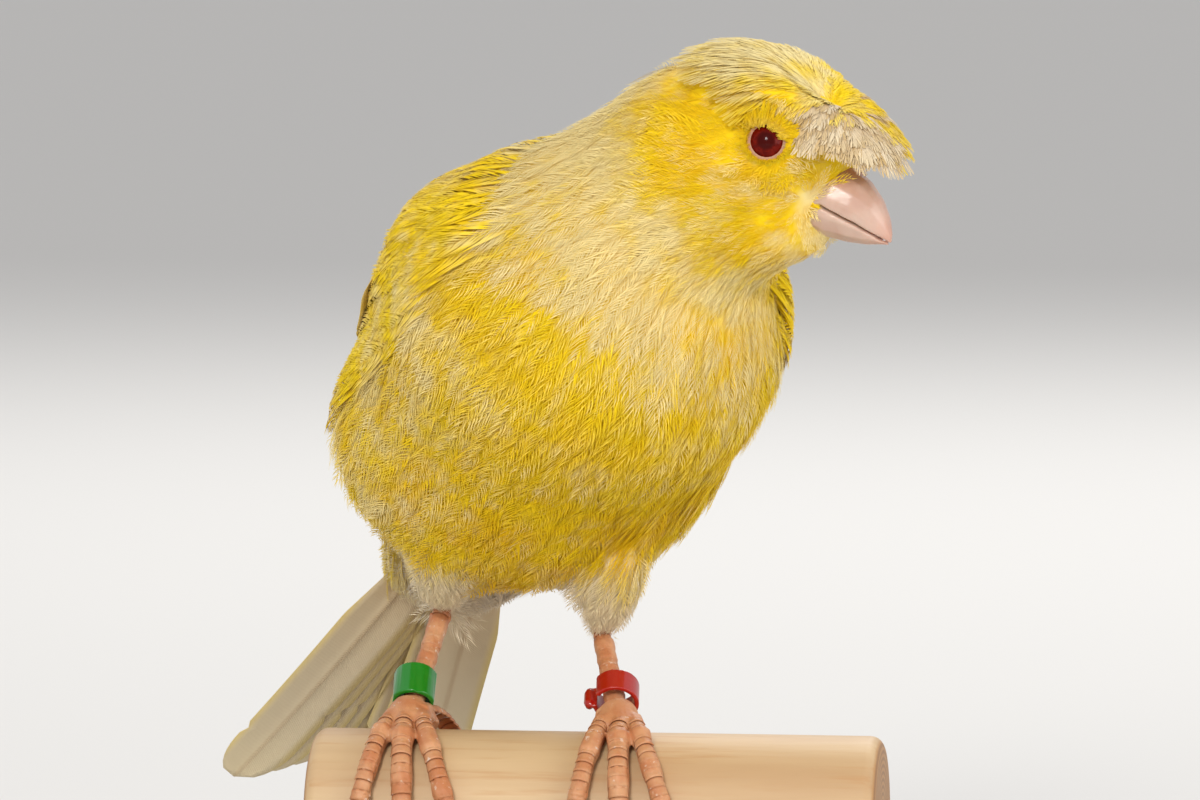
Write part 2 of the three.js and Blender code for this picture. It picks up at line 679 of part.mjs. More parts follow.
function foot(leg, side) {
  const { low, up } = shankLine(leg);
  const neckTop = low.clone().addScaledVector(up, FOOT_NECK + 1);
  const across = (x, y, z) => place([leg.foot[0] + x, y, z]);
  const palm = flesh(
    [
      bone(low, neckTop, 1.3, 0.5),
      bone(across(-0.9, -0.3, 10.1), across(0.9, -0.3, 10.1), 1.75, 1.0),
      bone(across(-1.2, -2.4, 9.4), across(1.2, -2.4, 9.4), 1.2, 1.0),
    ],
    1.6,
  );
  const toes = TOES.map((toe) => toeTube(leg, toe, side));
  const whole = join([skinned(palm, low, 2, 8).subtract(perchGrown()), ...toes]);
  return keepSide(whole, { point: low.clone().addScaledVector(up, FOOT_NECK), normal: up }, -1);
}

// Leg rings: a closed one on the right leg and a split one with a tab on the left leg
const RING_BORE = 1.75;
const RING_WALL = 0.45;
const RING_SEAT = 1.9; // the lower edge's height above the foot's middle

function closedRing(leg) {
  const { low, up } = shankLine(leg);
  const height = 3.7;
  const bevel = 0.12;
  const [inner, outer] = [RING_BORE, RING_BORE + RING_WALL];
  const edge = [[inner, 0], [outer - bevel, 0], [outer, bevel]];
  const profile = [...edge, ...[...edge].reverse().map(([x, y]) => [x, height - y]), [inner, 0]];
  const g = new THREE.LatheGeometry(profile.map((p) => new THREE.Vector2(...p)), 28).rotateX(Math.PI / 2);
  const facing = vec(0.3 * up.x, up.y, up.z).normalize();
  const middle = low.clone().addScaledVector(up, RING_SEAT + height / 2).add(vec(...leg.ring));
  return ringOf(g.translate(0, 0, -height / 2), middle, facing);
}

function splitRing(leg) {
  const { low, up } = shankLine(leg);
  const height = 2.7;
  const r = RING_BORE + 0.15;
  const shape = new THREE.Shape();
  shape.absarc(0, 0, r + RING_WALL, rad(-150), rad(172), false);
  shape.absarc(0, 0, r, rad(172), rad(-150), true);
  const band = new THREE.ExtrudeGeometry(shape, { depth: height, bevelEnabled: false, curveSegments: 18 });
  const tab = new THREE.CapsuleGeometry(0.62, height - 1.24, 2, 8).rotateX(Math.PI / 2);
  tab.translate(-(r + RING_WALL) - 0.25, 0.6, height / 2);
  const tilt = new THREE.Quaternion().setFromEuler(new THREE.Euler(rad(-8), rad(14), 0));
  const facing = up.clone().applyQuaternion(tilt);
  const centre = low.clone().addScaledVector(up, RING_SEAT + 0.4).add(vec(...leg.ring));
  return join([ringOf(band, centre, facing), ringOf(tab, centre, facing)]);
}

// Perch and stand

const rodX = (side) => (side * ROD_SPACING) / 2;

function upright(radius, from, to, x) {
  const g = new THREE.CylinderGeometry(radius, radius, to - from, 24).rotateX(Math.PI / 2);
  const under = place([x, 0, 0]);
  return solid(g.translate(under.x, under.y, (from + to) / 2));
}

const ROD_FROM = BASE_THICKNESS - ROD_SUNK;
const ROD_TO = BASE_THICKNESS + ROD_SHOWN + ROD_SUNK;
const rodHoles = () =>
  join([-1, 1].map((side) => upright(ROD_RADIUS + GAP, ROD_FROM - GAP, ROD_TO + GAP, rodX(side))));

function perch() {
  const half = PERCH_LENGTH / 2;
  const [r, e] = [PERCH_RADIUS - PERCH_EDGE, half - PERCH_EDGE];
  const quarter = steps(2).map((s) => [Math.sin((s * Math.PI) / 2), Math.cos((s * Math.PI) / 2)]);
  const top = [[0, half], ...quarter.map(([x, y]) => [r + PERCH_EDGE * x, e + PERCH_EDGE * y])];
  const profile = [...top, ...[...top].reverse().map(([x, y]) => [x, -y])].reverse();
  const g = new THREE.LatheGeometry(profile.map((p) => new THREE.Vector2(...p)), 40);
  return solid(g.rotateZ(Math.PI / 2).applyMatrix4(PERCH)).subtract(rodHoles());
}

function base() {
  const [x, y, c] = [BASE_LENGTH / 2 - BASE_EDGE, BASE_WIDTH / 2 - BASE_EDGE, BASE_CORNER];
  const shape = new THREE.Shape();
  const corners = [[1, 1], [-1, 1], [-1, -1], [1, -1]];
  corners.forEach(([right, back], i) =>
    shape.absarc(right * (x - c), back * (y - c), c, rad(90 * i), rad(90 * i + 90), false),
  );
  const g = new THREE.ExtrudeGeometry(shape, {
    depth: BASE_THICKNESS - 2 * BASE_EDGE,
    bevelThickness: BASE_EDGE,
    bevelSize: BASE_EDGE,
    bevelSegments: 1,
    curveSegments: 5,
  });
  return solid(g.translate(0, 0, BASE_EDGE)).subtract(rodHoles());
}

// The bird's flesh grown by a little more than the gap, which cuts what lies against it
const bodyGrown = skinned(torsoForm, at(BODY, 2, 0, 0), 6, 60, GAP + 0.1, [1.3, 1, 0.95]);

const bird = new THREE.Group();
const halves = bill();
bird.add(
  mesh("torso", torso(), YELLOW),
  mesh("neck", neck(), YELLOW),
  mesh("head", head(), YELLOW),
  mesh("bill_upper", halves.upper, BILL),
  mesh("bill_lower", halves.lower, BILL),
  mesh("tail", tail(), PALE),
);
for (const [name, side] of [["left", 1], ["right", -1]]) {
  const leg = LEGS[name];
  bird.add(
    mesh(`eye_${name}`, ball(eyeCentre(side), EYE_RADIUS, 2), EYE),
    mesh(`wing_${name}`, wing(side), PALE),
    mesh(`thigh_${name}`, thigh(leg), PALE),
    mesh(`shank_${name}`, shank(leg), SKIN),
    mesh(`foot_${name}`, foot(leg, side), SKIN),
  );
  for (const toe of TOES) bird.add(mesh(`claw_${name}_${toe.name}`, clawTube(leg, toe, side), CLAW, 0));
}
bird.add(mesh("ring_green", closedRing(LEGS.right), GREEN), mesh("ring_red", splitRing(LEGS.left), RED));

const stand = new THREE.Group();
stand.add(mesh("perch", perch(), WOOD), mesh("stand_base", base(), BASE));
for (const [name, side] of [["left", -1], ["right", 1]])
  stand.add(mesh(`stand_rod_${name}`, upright(ROD_RADIUS, ROD_FROM, ROD_TO, rodX(side)), STEEL));

const model = new THREE.Group();
model.add(bird, stand);
export default model;
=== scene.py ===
# %% [markdown]
# # A crested canary on its perch
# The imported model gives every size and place. This lesson dresses it: one soft skin takes the
# place of the flesh, feathers grow from the skin, and the hard parts get finer copies and finishes.
# Feathers could be particle hair, but the finished piece has to be solid mesh, so all are solids.
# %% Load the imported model
import json
import math

import bmesh
import bpy
import numpy as np
from mathutils import Matrix, Vector
from mathutils.bvhtree import BVHTree

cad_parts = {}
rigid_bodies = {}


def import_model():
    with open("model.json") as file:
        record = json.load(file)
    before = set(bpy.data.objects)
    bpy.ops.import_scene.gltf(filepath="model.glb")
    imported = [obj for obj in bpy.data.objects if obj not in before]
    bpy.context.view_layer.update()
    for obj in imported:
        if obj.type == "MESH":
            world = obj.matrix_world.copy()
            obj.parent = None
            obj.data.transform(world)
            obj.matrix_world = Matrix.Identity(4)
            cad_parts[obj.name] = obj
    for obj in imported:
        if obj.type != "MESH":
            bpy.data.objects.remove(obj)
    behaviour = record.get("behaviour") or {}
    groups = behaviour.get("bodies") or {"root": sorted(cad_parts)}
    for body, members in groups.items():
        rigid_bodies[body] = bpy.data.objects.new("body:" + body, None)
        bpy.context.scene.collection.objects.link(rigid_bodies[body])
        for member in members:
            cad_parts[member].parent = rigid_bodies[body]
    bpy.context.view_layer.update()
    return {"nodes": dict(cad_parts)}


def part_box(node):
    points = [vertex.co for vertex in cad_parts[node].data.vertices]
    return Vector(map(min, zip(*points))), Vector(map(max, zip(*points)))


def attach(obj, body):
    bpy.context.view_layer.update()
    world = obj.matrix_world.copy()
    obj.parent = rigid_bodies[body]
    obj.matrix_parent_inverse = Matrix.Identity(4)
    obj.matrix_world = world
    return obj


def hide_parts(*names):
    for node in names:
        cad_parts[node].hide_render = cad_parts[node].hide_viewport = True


for leftover in list(bpy.data.objects):
    bpy.data.objects.remove(leftover)
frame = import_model()
MM = 0.001
SIDES = {"left": 1, "right": -1}
rng = np.random.default_rng(12)

# %% [markdown]
# A bird that leans and turns its head has few places that are easy to name in the room's x, y
# and z. So everything on it is placed in three frames: the body's, the head's and the tail's. In
# each, x looks forward, y is the bird's left and z is its back. The perch's middle, read from the
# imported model, carries them all, so the whole bird stands where the solids stand.
# %% Frames of body, head and tail
PERCH_MIDDLE = sum(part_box("perch"), Vector()) / 2
PERCH_YAW = math.radians(8)
BODY_FROM_PERCH = Vector((-4.2, 1.5, 45)) * MM
HEAD_FROM_PERCH = Vector((13.8, -17.5, 68.2)) * MM
TAIL_ON_BODY = (-27, -1.5, 2)


def facing_frame(origin, yaw, pitch, roll):
    y, p = math.radians(yaw), math.radians(pitch)
    forward = Vector((math.cos(p) * math.sin(y), -math.cos(p) * math.cos(y), math.sin(p)))
    left = Vector((math.cos(y), math.sin(y), 0))
    turned = Matrix((forward, left, forward.cross(left))).transposed().to_4x4()
    return Matrix.Translation(origin) @ turned @ Matrix.Rotation(math.radians(roll), 4, "X")


def at(place, x, y, z):
    """A spot given in millimetres in a frame, in metres in the room."""
    return place @ (Vector((x, y, z)) * MM)


def local(place, points):
    """Points given in metres in the room, as millimetres in a frame."""
    back = np.array(place.inverted())
    return (points @ back[:3, :3].T + back[:3, 3]) / MM


BODY = facing_frame(PERCH_MIDDLE + BODY_FROM_PERCH, yaw=22, pitch=44, roll=-9)
HEAD = facing_frame(PERCH_MIDDLE + HEAD_FROM_PERCH, yaw=62, pitch=-18, roll=8)
TAIL = facing_frame(at(BODY, *TAIL_ON_BODY), yaw=20.5, pitch=35, roll=-12)
PERCH = Matrix.Translation(PERCH_MIDDLE) @ Matrix.Rotation(-PERCH_YAW, 4, "Z")
print("head centre", [round(c / MM, 1) for c in HEAD.translation])

# %% [markdown]
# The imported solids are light: a few flat faces for each form. A finer piece could be modelled
# anew, but it would drift from the solid. So it starts from a copy: the copy's loose triangles
# are merged, a voxel remesh lays an even grid over it, and a few rounds of smoothing take the
# facets away. The solids themselves are never touched.
# %% Finer copies of the solids
def show(name, mesh):
    piece = bpy.data.objects.new(name, mesh)
    bpy.context.scene.collection.objects.link(piece)
    return piece


def merged_copy(name, nodes, grown=0.0):
    joined = bmesh.new()
    for node in nodes:
        joined.from_mesh(frame["nodes"][node].data)
    bmesh.ops.remove_doubles(joined, verts=joined.verts, dist=1e-6)
    joined.normal_update()
    for vert in joined.verts:
        vert.co += vert.normal * grown
    mesh = bpy.data.meshes.new(name)
    joined.to_mesh(mesh)
    joined.free()
    return show(name, mesh)


def made_plain(piece, smooth=True):
    """What the modifiers make, as the piece's own mesh, and the modifiers gone."""
    bpy.context.view_layer.update()
    graph = bpy.context.evaluated_depsgraph_get()
    mesh = bpy.data.meshes.new_from_object(
        piece.evaluated_get(graph), preserve_all_data_layers=True, depsgraph=graph
    )
    piece.modifiers.clear()
    piece.data = mesh
    mesh.name = piece.name
    if smooth:
        mesh.shade_smooth()
    else:
        mesh.shade_flat()
    return piece


def smooth_copy(name, nodes, voxel, rounds, grown=0.0):
    piece = merged_copy(name, nodes, grown)
    remesh = piece.modifiers.new("even grid", "REMESH")
    remesh.mode = "VOXEL"
    remesh.voxel_size = voxel
    if rounds:
        smooth = piece.modifiers.new("rounding", "SMOOTH")
        smooth.factor = 0.5
        smooth.iterations = rounds
    return made_plain(piece)


print("flesh and hard parts to copy from:", ", ".join(sorted(frame["nodes"])))

# %% [markdown]
# A mesh's points can be read one by one, but a skin has tens of thousands, so they are read and
# written as whole arrays. What is worked out for each point is kept on the mesh as an attribute,
# which trees and materials can read. A search tree finds the nearest spot of a surface.
# %% Points and attributes
def rows(source, field):
    values = np.zeros(len(source) * 3, np.float32)
    source.foreach_get(field, values)
    return values.reshape(-1, 3).astype(float)


def vertex_array(mesh):
    return rows(mesh.vertices, "co")


def store(mesh, name, values, kind="FLOAT", domain="POINT"):
    attribute = mesh.attributes.new(name, kind, domain)
    field = "vector" if kind == "FLOAT_VECTOR" else "value"
    attribute.data.foreach_set(field, np.asarray(values, np.float32).ravel())


def tree_for(mesh):
    verts = [v.co for v in mesh.vertices]
    return BVHTree.FromPolygons(verts, [tuple(p.vertices) for p in mesh.polygons])


print("points of the solid head", len(vertex_array(frame["nodes"]["head"].data)))

# %% [markdown]
# Geometry Nodes trees are built by a few helpers. One adds a node and fills its sockets by name,
# with a value or with another node's output. Another sets a modifier's inputs by the sockets'
# identifiers, runs the tree once and keeps the result as a plain mesh.
# %% Helpers for Geometry Nodes
def socket_named(sockets, name):
    return next(s for s in sockets if s.name == name and s.enabled)


def fill(tree, socket, value):
    """Links another node's output to a socket, or sets the socket's own value."""
    if isinstance(value, bpy.types.NodeSocket):
        tree.links.new(value, socket)
    elif value is not None:
        socket.default_value = value


def put(tree, kind, inputs=None, **settings):
    made = tree.nodes.new(kind)
    for key, value in settings.items():
        setattr(made, key, value)
    for name, value in (inputs or {}).items():
        socket = made.inputs[name] if isinstance(name, int) else socket_named(made.inputs, name)
        fill(tree, socket, value)
    return made


def out(made, name=None):
    if name is None:
        return next(s for s in made.outputs if s.enabled)
    return socket_named(made.outputs, name)


def new_tree(name, inputs):
    tree = bpy.data.node_groups.new(name, "GeometryNodeTree")
    tree.interface.new_socket(name="Geometry", in_out="INPUT", socket_type="NodeSocketGeometry")
    for label, kind, value in inputs:
        socket = tree.interface.new_socket(name=label, in_out="INPUT", socket_type=kind)
        if value is not None:
            socket.default_value = value
    tree.interface.new_socket(name="Geometry", in_out="OUTPUT", socket_type="NodeSocketGeometry")
    return tree, tree.nodes.new("NodeGroupInput"), tree.nodes.new("NodeGroupOutput")


def end_tree(tree, geometry, finish, end):
    """The tree's last steps: instances made real, a finish on all that it has made, and out."""
    real = out(put(tree, "GeometryNodeRealizeInstances", {"Geometry": geometry}))
    dressed = put(tree, "GeometryNodeSetMaterial", {"Geometry": real, "Material": finish})
    tree.links.new(out(dressed), end.inputs[0])
    print("tree", tree.name, "has", len(tree.nodes), "nodes")


def grown_by(tree, piece, smooth=True, **values):
    """Runs a tree on a piece once, with its inputs set by identifier."""
    modifier = piece.modifiers.new(tree.name, "NODES")
    modifier.node_group = tree
    names = {s.name: s.identifier for s in tree.interface.items_tree if s.in_out == "INPUT"}
    for label, value in values.items():
        modifier[names[label]] = value
    return made_plain(piece, smooth)


# %% [markdown]
# Most steps inside a tree are sums, so sums on numbers and on vectors get helpers of their own,
# and so do reading and keeping an attribute. Material trees use the same sums.
# %% Helpers for sums and attributes
def maths(tree, operation, a, b=None, c=None):
    return out(put(tree, "ShaderNodeMath", {0: a, 1: b, 2: c}, operation=operation))


def vectors(tree, operation, a, b=None, scale=None):
    made = put(tree, "ShaderNodeVectorMath", {0: a, 1: b}, operation=operation)
    if scale is not None:
        fill(tree, made.inputs["Scale"], scale)
    return out(made)


def named(tree, name, kind="FLOAT"):
    return out(put(tree, "GeometryNodeInputNamedAttribute", {"Name": name}, data_type=kind), "Attribute")


def keep(tree, geometry, name, value, kind="FLOAT", domain="POINT"):
    inputs = {"Geometry": geometry, "Name": name, "Value": value}
    made = put(tree, "GeometryNodeStoreNamedAttribute", inputs, data_type=kind, domain=domain)
    return out(made, "Geometry")


def chance(tree, low, high, seed, kind="FLOAT"):
    inputs = {"Min": low, "Max": high, "Seed": seed}
    return out(put(tree, "FunctionNodeRandomValue", inputs, data_type=kind))


def laid_along(tree, facing, along):
    """A turn whose Z is the way a spot faces, and whose X comes as near to a direction as it can."""
    upright = put(tree, "FunctionNodeAlignRotationToVector", {"Vector": facing}, axis="Z")
    inputs = {"Rotation": out(upright), "Vector": along}
    return out(put(tree, "FunctionNodeAlignRotationToVector", inputs, axis="X", pivot_axis="Z"))


# %% [markdown]
# Materials are procedural. They read Object coordinates where a pattern lies in the material, as
# grain does, and the feathers' own attributes where it follows the feather: its length, and how
# much gold or frost the skin has at its root. A photograph laid over the bird would be quicker,
# but it would fit one view only.
# %% Helpers for materials
def linear(code):
    """A colour written as sRGB in hexadecimal, as linear RGBA."""
    parts = [int(code[i : i + 2], 16) / 255 for i in (0, 2, 4)]
    return (*[c / 12.92 if c <= 0.04045 else ((c + 0.055) / 1.055) ** 2.4 for c in parts], 1)


def new_finish(name, roughness, **sockets):
    material = bpy.data.materials.new(name)
    material.use_nodes = True
    shader = material.node_tree.nodes["Principled BSDF"]
    shader.inputs["Roughness"].default_value = roughness
    for label, value in sockets.items():
        shader.inputs[label.replace("_", " ")].default_value = value
    return material, material.node_tree, shader


def mixed(tree, share, a, b, blend="MIX"):
    made = put(tree, "ShaderNodeMix", data_type="RGBA", blend_type=blend)
    for socket, value in zip([s for s in made.inputs if s.enabled], (share, a, b)):
        fill(tree, socket, value)
    return out(made)


def object_place(tree, scale=(1, 1, 1), turn=(0, 0, 0), centre=(0, 0, 0)):
    source = out(put(tree, "ShaderNodeTexCoord"), "Object")
    inputs = {"Vector": source, "Location": centre, "Rotation": turn, "Scale": scale}
    return out(put(tree, "ShaderNodeMapping", inputs, vector_type="TEXTURE"))


def noise(tree, place, scale, detail=2.0, rough=0.5):
    inputs = {"Vector": place, "Scale": scale, "Detail": detail, "Roughness": rough}
    return out(put(tree, "ShaderNodeTexNoise", inputs))


def stretched(tree, value, low, high, to_low=0.0, to_high=1.0):
    """A value eased from one range to another."""
    inputs = {"Value": value, 1: low, 2: high, 3: to_low, 4: to_high}
    return out(put(tree, "ShaderNodeMapRange", inputs, interpolation_type="SMOOTHSTEP"))


def part_of(tree, value, share):
    return maths(tree, "MULTIPLY", value, share)


def raised(tree, shader, height, distance, strength=1.0):
    inputs = {"Height": height, "Distance": distance, "Strength": strength}
    tree.links.new(out(put(tree, "ShaderNodeBump", inputs)), shader.inputs["Normal"])


def coloured(tree, shader, colour):
    tree.links.new(colour, shader.inputs["Base Color"])


def trait(tree, name):
    return out(put(tree, "ShaderNodeAttribute", attribute_name=name), "Fac")


def glowing_through(shader, share, red, green, blue):
    """Light that goes some way under the surface, further in red than in blue, in metres."""
    shader.inputs["Subsurface Weight"].default_value = share
    shader.inputs["Subsurface Radius"].default_value = (red, green, blue)
    shader.inputs["Subsurface Scale"].default_value = 1.0


# %% [markdown]
# The plumage is clear yellow with a frost of buff: pale blotches a few millimetres across, strong
# on nape, back and flanks, few on the face, and all over the thighs and under the tail. Each
# feather is darker and warmer near its root: painted shade, as if the feathers over it shaded it.
# Single barbs differ a little, as silk does. Skin and feathers share one recipe, so that a gap in
# the coat shows the same marking underneath.
# %% Finish of skin and feathers
YELLOW = linear("F3D11A")
GOLD = linear("E9B512")
BUFF = linear("F0DC9C")
CREAM = linear("F3E6CC")
BEIGE = linear("BC9248")
SMALL_BLOTCHES = 420
LARGE_BLOTCHES = 150
WARM_PATCHES = 140


def marked(tree, place, own_share):
    """The colour before shade: yellow and gold, under buff, cream and beige where frost is strong."""
    frost, gold = trait(tree, "frost"), trait(tree, "gold")
    blotch = part_of(tree, noise(tree, place, SMALL_BLOTCHES), 0.62)
    blotch = maths(tree, "MULTIPLY_ADD", noise(tree, place, LARGE_BLOTCHES), 0.58, blotch)
    blotch = maths(tree, "ADD", blotch, maths(tree, "SUBTRACT", frost, 0.1))
    if own_share:
        own = maths(tree, "MULTIPLY", trait(tree, "own"), stretched(tree, trait(tree, "along"), 0.1, 1.0))
        blotch = maths(tree, "MULTIPLY_ADD", own, own_share, blotch)
    warm = maths(tree, "MULTIPLY", stretched(tree, noise(tree, place, WARM_PATCHES), 0.35, 0.7), gold)
    colour = mixed(tree, warm, YELLOW, GOLD)
    colour = mixed(tree, stretched(tree, blotch, 0.9, 1.36, 0.0, 0.95), colour, BUFF)
    colour = mixed(tree, stretched(tree, frost, 0.85, 1.1), colour, CREAM)
    return mixed(tree, stretched(tree, frost, 1.2, 1.5), colour, BEIGE)


def shaded_feather(tree, colour):
    """Darker and warmer at the feather's root as painted shade, paler at its tip, with barbs and feathers
    that differ a little.
    """
    along = trait(tree, "along")
    # Painted shade: near the root the colour is multiplied with gold, darker and warmer, as if the feathers
    # over it shaded it.
    root = stretched(tree, along, 0.0, 0.6, 0.2, 0.0)
    colour = mixed(tree, root, colour, mixed(tree, 1.0, colour, GOLD, "MULTIPLY"))
    colour = mixed(tree, part_of(tree, stretched(tree, along, 0.7, 1.0), 0.14), colour, BUFF)
    of_barb = stretched(tree, trait(tree, "hair"), 0.0, 1.0, 0.87, 1.05)
    of_feather = stretched(tree, trait(tree, "own"), 0.0, 1.0, 0.95, 1.03)
    shade = maths(tree, "MULTIPLY", of_barb, of_feather)
    grey = put(tree, "ShaderNodeCombineColor", {"Red": shade, "Green": shade, "Blue": shade})
    return mixed(tree, 1.0, colour, out(grey), "MULTIPLY")


def plumage(name, feathered):
    material, tree, shader = new_finish(name, 0.75)
    shader.inputs["Specular IOR Level"].default_value = 0.1
    place = object_place(tree)
    colour = marked(tree, place, 0.3 if feathered else 0)
    if feathered:
        colour = shaded_feather(tree, colour)
    else:
        raised(tree, shader, noise(tree, place, 2600, 3), 0.0001, 0.5)
    coloured(tree, shader, colour)
    return material


COAT = plumage("plumage", True)
SKIN_UNDER_COAT = plumage("skin_under_plumage", False)
print("materials", [m.name for m in bpy.data.materials])

# %% [markdown]
# The skin is one closed surface for torso, neck, head, thighs and the tail's root, so no seam
# shows between them. The copies are grown a little so that the gaps between nodes close, and are
# remeshed as one. Scaling that down would shift it, so it is turned into a volume and back at an
# inner level, which draws the surface in by the depth of the coat. What is thin, such as the
# solids' own feathers, vanishes.
# %% Skin under the coat
COAT_DEPTH = 0.9 * MM
CLOSING = 0.25 * MM
INNER_LEVEL = 0.5
FLESH = ["torso", "neck", "head", "thigh_left", "thigh_right", "tail"]
HARD = ["eye_left", "eye_right", "bill_upper", "bill_lower"]

skin_inputs = [("Voxel", "NodeSocketFloat", 0.6 * MM), ("Depth", "NodeSocketFloat", COAT_DEPTH)]
tree, start, end = new_tree("draw in", skin_inputs)
band = maths(tree, "MULTIPLY", out(start, "Depth"), 2.0)
inputs = {"Mesh": out(start, "Geometry"), "Voxel Size": out(start, "Voxel"), "Interior Band Width": band}
volume = put(tree, "GeometryNodeMeshToVolume", inputs, resolution_mode="VOXEL_SIZE")
inputs = {"Volume": out(volume), "Voxel Size": out(start, "Voxel"), "Threshold": INNER_LEVEL}
surface = put(tree, "GeometryNodeVolumeToMesh", inputs, resolution_mode="VOXEL_SIZE")
end_tree(tree, out(surface), SKIN_UNDER_COAT, end)

skin = smooth_copy("skin", FLESH + HARD, 0.5 * MM, 0, grown=CLOSING)
whole = len(skin.data.polygons)
grown_by(tree, skin, Voxel=0.6 * MM, Depth=COAT_DEPTH + CLOSING)
skin.modifiers.new("rounding", "SMOOTH").iterations = 6
made_plain(skin)
print("skin", whole, "to", len(skin.data.polygons), "faces")


def faces_of(piece):
    """How many triangles a piece has."""
    return sum(len(p.vertices) - 2 for p in piece.data.polygons)


def finish_piece(piece, *nodes, slot=None):
    """Fixes a piece to the bird and hides the nodes whose place it takes. The finish's slot is not used."""
    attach(piece, "root")
    if nodes:
        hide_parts(*nodes)
    return piece


finish_piece(skin, *FLESH)

# %% [markdown]
# Feathers need to know where on the bird they stand. Each point of the skin is measured in the
# three frames and from both eyes. Regions shade into each other: a share rises smoothly from 0
# to 1, because a hard border between two regions would show as a line in the coat.
# %% Where each point of the skin is
EYE_CENTRE = {side: sum(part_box(f"eye_{side}"), Vector()) / 2 for side in SIDES}
GAZE = {"left": (0.3, 0.89, 0.34), "right": (0.3, -0.89, 0.34)}
NECK_MIDDLE = (at(BODY, 16, 0, -1) + at(HEAD, -3, 0, -3)) / 2
skin_co = vertex_array(skin.data)
skin_normals = rows(skin.data.vertex_normals, "vector")
in_body, in_head = local(BODY, skin_co), local(HEAD, skin_co)
body_x, body_y, body_z = in_body.T
head_x, head_y, head_z = in_head.T


def length_of(values):
    return np.linalg.norm(values, axis=1)


def unit(values):
    return values / np.maximum(np.linalg.norm(values, axis=-1, keepdims=True), 1e-9)


def eased(share):
    return share * share * (3 - 2 * share)


def nearness(points, centre, radius):
    """1 at the centre of a round region, falling to 0 at its radius, smoothly."""
    return eased(np.clip(1 - length_of(points - np.array(centre)) / radius, 0, 1))


def from_to(value, low, high):
    """0 up to one value, 1 from another on, smooth between them."""
    return eased(np.clip((value - low) / (high - low), 0, 1))


def blend(a, b, share):
    return a * (1 - share) + b * share


def toward(place, direction):
    return np.array(place.to_3x3() @ Vector(direction))


on_head = np.clip(1.6 * nearness(in_head, (1, 0, -0.5), 19), 0, 1)
on_tail = from_to(-body_x, 20, 30)
on_neck = nearness(local(Matrix.Translation(NECK_MIDDLE), skin_co), (0, 0, 0), 17)
to_eyes = [length_of(skin_co - np.array(EYE_CENTRE[side])) / MM for side in SIDES]
left_is_nearer = (to_eyes[0] < to_eyes[1])[:, None]
near_eye = np.minimum(*to_eyes)
by_eye = from_to(-near_eye, -4.6, -3.0)
print("skin points", len(skin_co), "on the head", int((on_head > 0.5).sum()))

# %% [markdown]
# On the living bird all feathers point away from the bill: back over the head, fanned out over
# the breast, down the thighs and along the tail. One direction for all would look like fur that
# was brushed. So each region has a direction of its own, and the shares blend them.
# %% The way the feathers lie
BILL_BASE = at(HEAD, 10, 0, -1.5)
KNEES = {"left": at(PERCH, 2.6, -1.0, 29.5), "right": at(PERCH, -15.0, -4.5, 31)}
HEELS = {"left": at(PERCH, -1.0, 9.0, 18.6), "right": at(PERCH, -17.2, 10.5, 20.6)}
BACKWARD = (-1, 0, 0)
off_head = unit(skin_co - np.array(HEAD.translation))
off_bill = unit(skin_co - np.array(BILL_BASE))

lie = 0.45 * toward(BODY, BACKWARD) + 0.75 * off_head
lie += on_neck[:, None] * (0.8 * off_head + 0.9 * toward(BODY, BACKWARD))
lie = blend(lie, off_bill + 0.9 * toward(HEAD, (-1, 0, -0.3)), on_head[:, None])
lie = blend(lie, toward(TAIL, BACKWARD), on_tail[:, None])

on_thigh, down_thigh = np.zeros(len(skin_co)), np.zeros(len(skin_co))
for side in SIDES:
    knee, heel = np.array(KNEES[side]), np.array(HEELS[side])
    down = (skin_co - knee) @ (heel - knee) / np.sum((heel - knee) ** 2)
    along = np.clip(down, 0, 1.2)
    off_bone = length_of(skin_co - (knee + along[:, None] * (heel - knee))) / MM
    share = from_to(-off_bone, -6.5, -4.2) * from_to(down, -0.1, 0.2)
    lie = blend(lie, unit(heel - knee), share[:, None])
    on_thigh = np.maximum(on_thigh, share)
    down_thigh = np.maximum(down_thigh, share * from_to(along, 0.35, 0.95))

bill_tree = tree_for(merged_copy("bill_probe", ["bill_upper", "bill_lower"]).data)
to_horn = np.array([bill_tree.find_nearest(Vector(p))[3] for p in skin_co]) / MM
by_bill = from_to(-to_horn, -1.9, -0.9) * (head_x > 6)
lie = blend(lie, toward(HEAD, (1, 0, -0.25)) + 0.5 * off_bill, by_bill[:, None])

eye_spots = [in_head - local(HEAD, np.array(EYE_CENTRE[side])) for side in SIDES]
from_eye = np.where(left_is_nearer, *eye_spots)
lie = lie + by_eye[:, None] * 1.5 * (unit(from_eye) @ np.array(HEAD.to_3x3()).T)

head_on = np.sum(unit(lie) * skin_normals, axis=1)
lie = unit(lie - skin_normals * np.sum(lie * skin_normals, axis=1, keepdims=True))
print("by bill", int((by_bill > 0.5).sum()), "by eye", int((by_eye > 0.5).sum()))

# %% [markdown]
# Feathers on a small bird are about 7 mm long on the body, 3 mm on the cheek and 1.5 mm round the
# eye and the bill. They leave the skin at a small angle. Where the body curves away under a
# feather its tip would stand off, and where it curves up the tip would sink in. So the angle is
# worked out from the nearest skin at the feather's end.
# %% Length and rise
BODY_LENGTH = 7.4
FACE_LENGTH = 2.6
THIGH_LENGTH = 6.2
HEEL_LENGTH = 3.6
TAIL_ROOT_LENGTH = 8.5
DROOP = 0.16
TIP_LIFT = 0.09
STEEPEST = 26

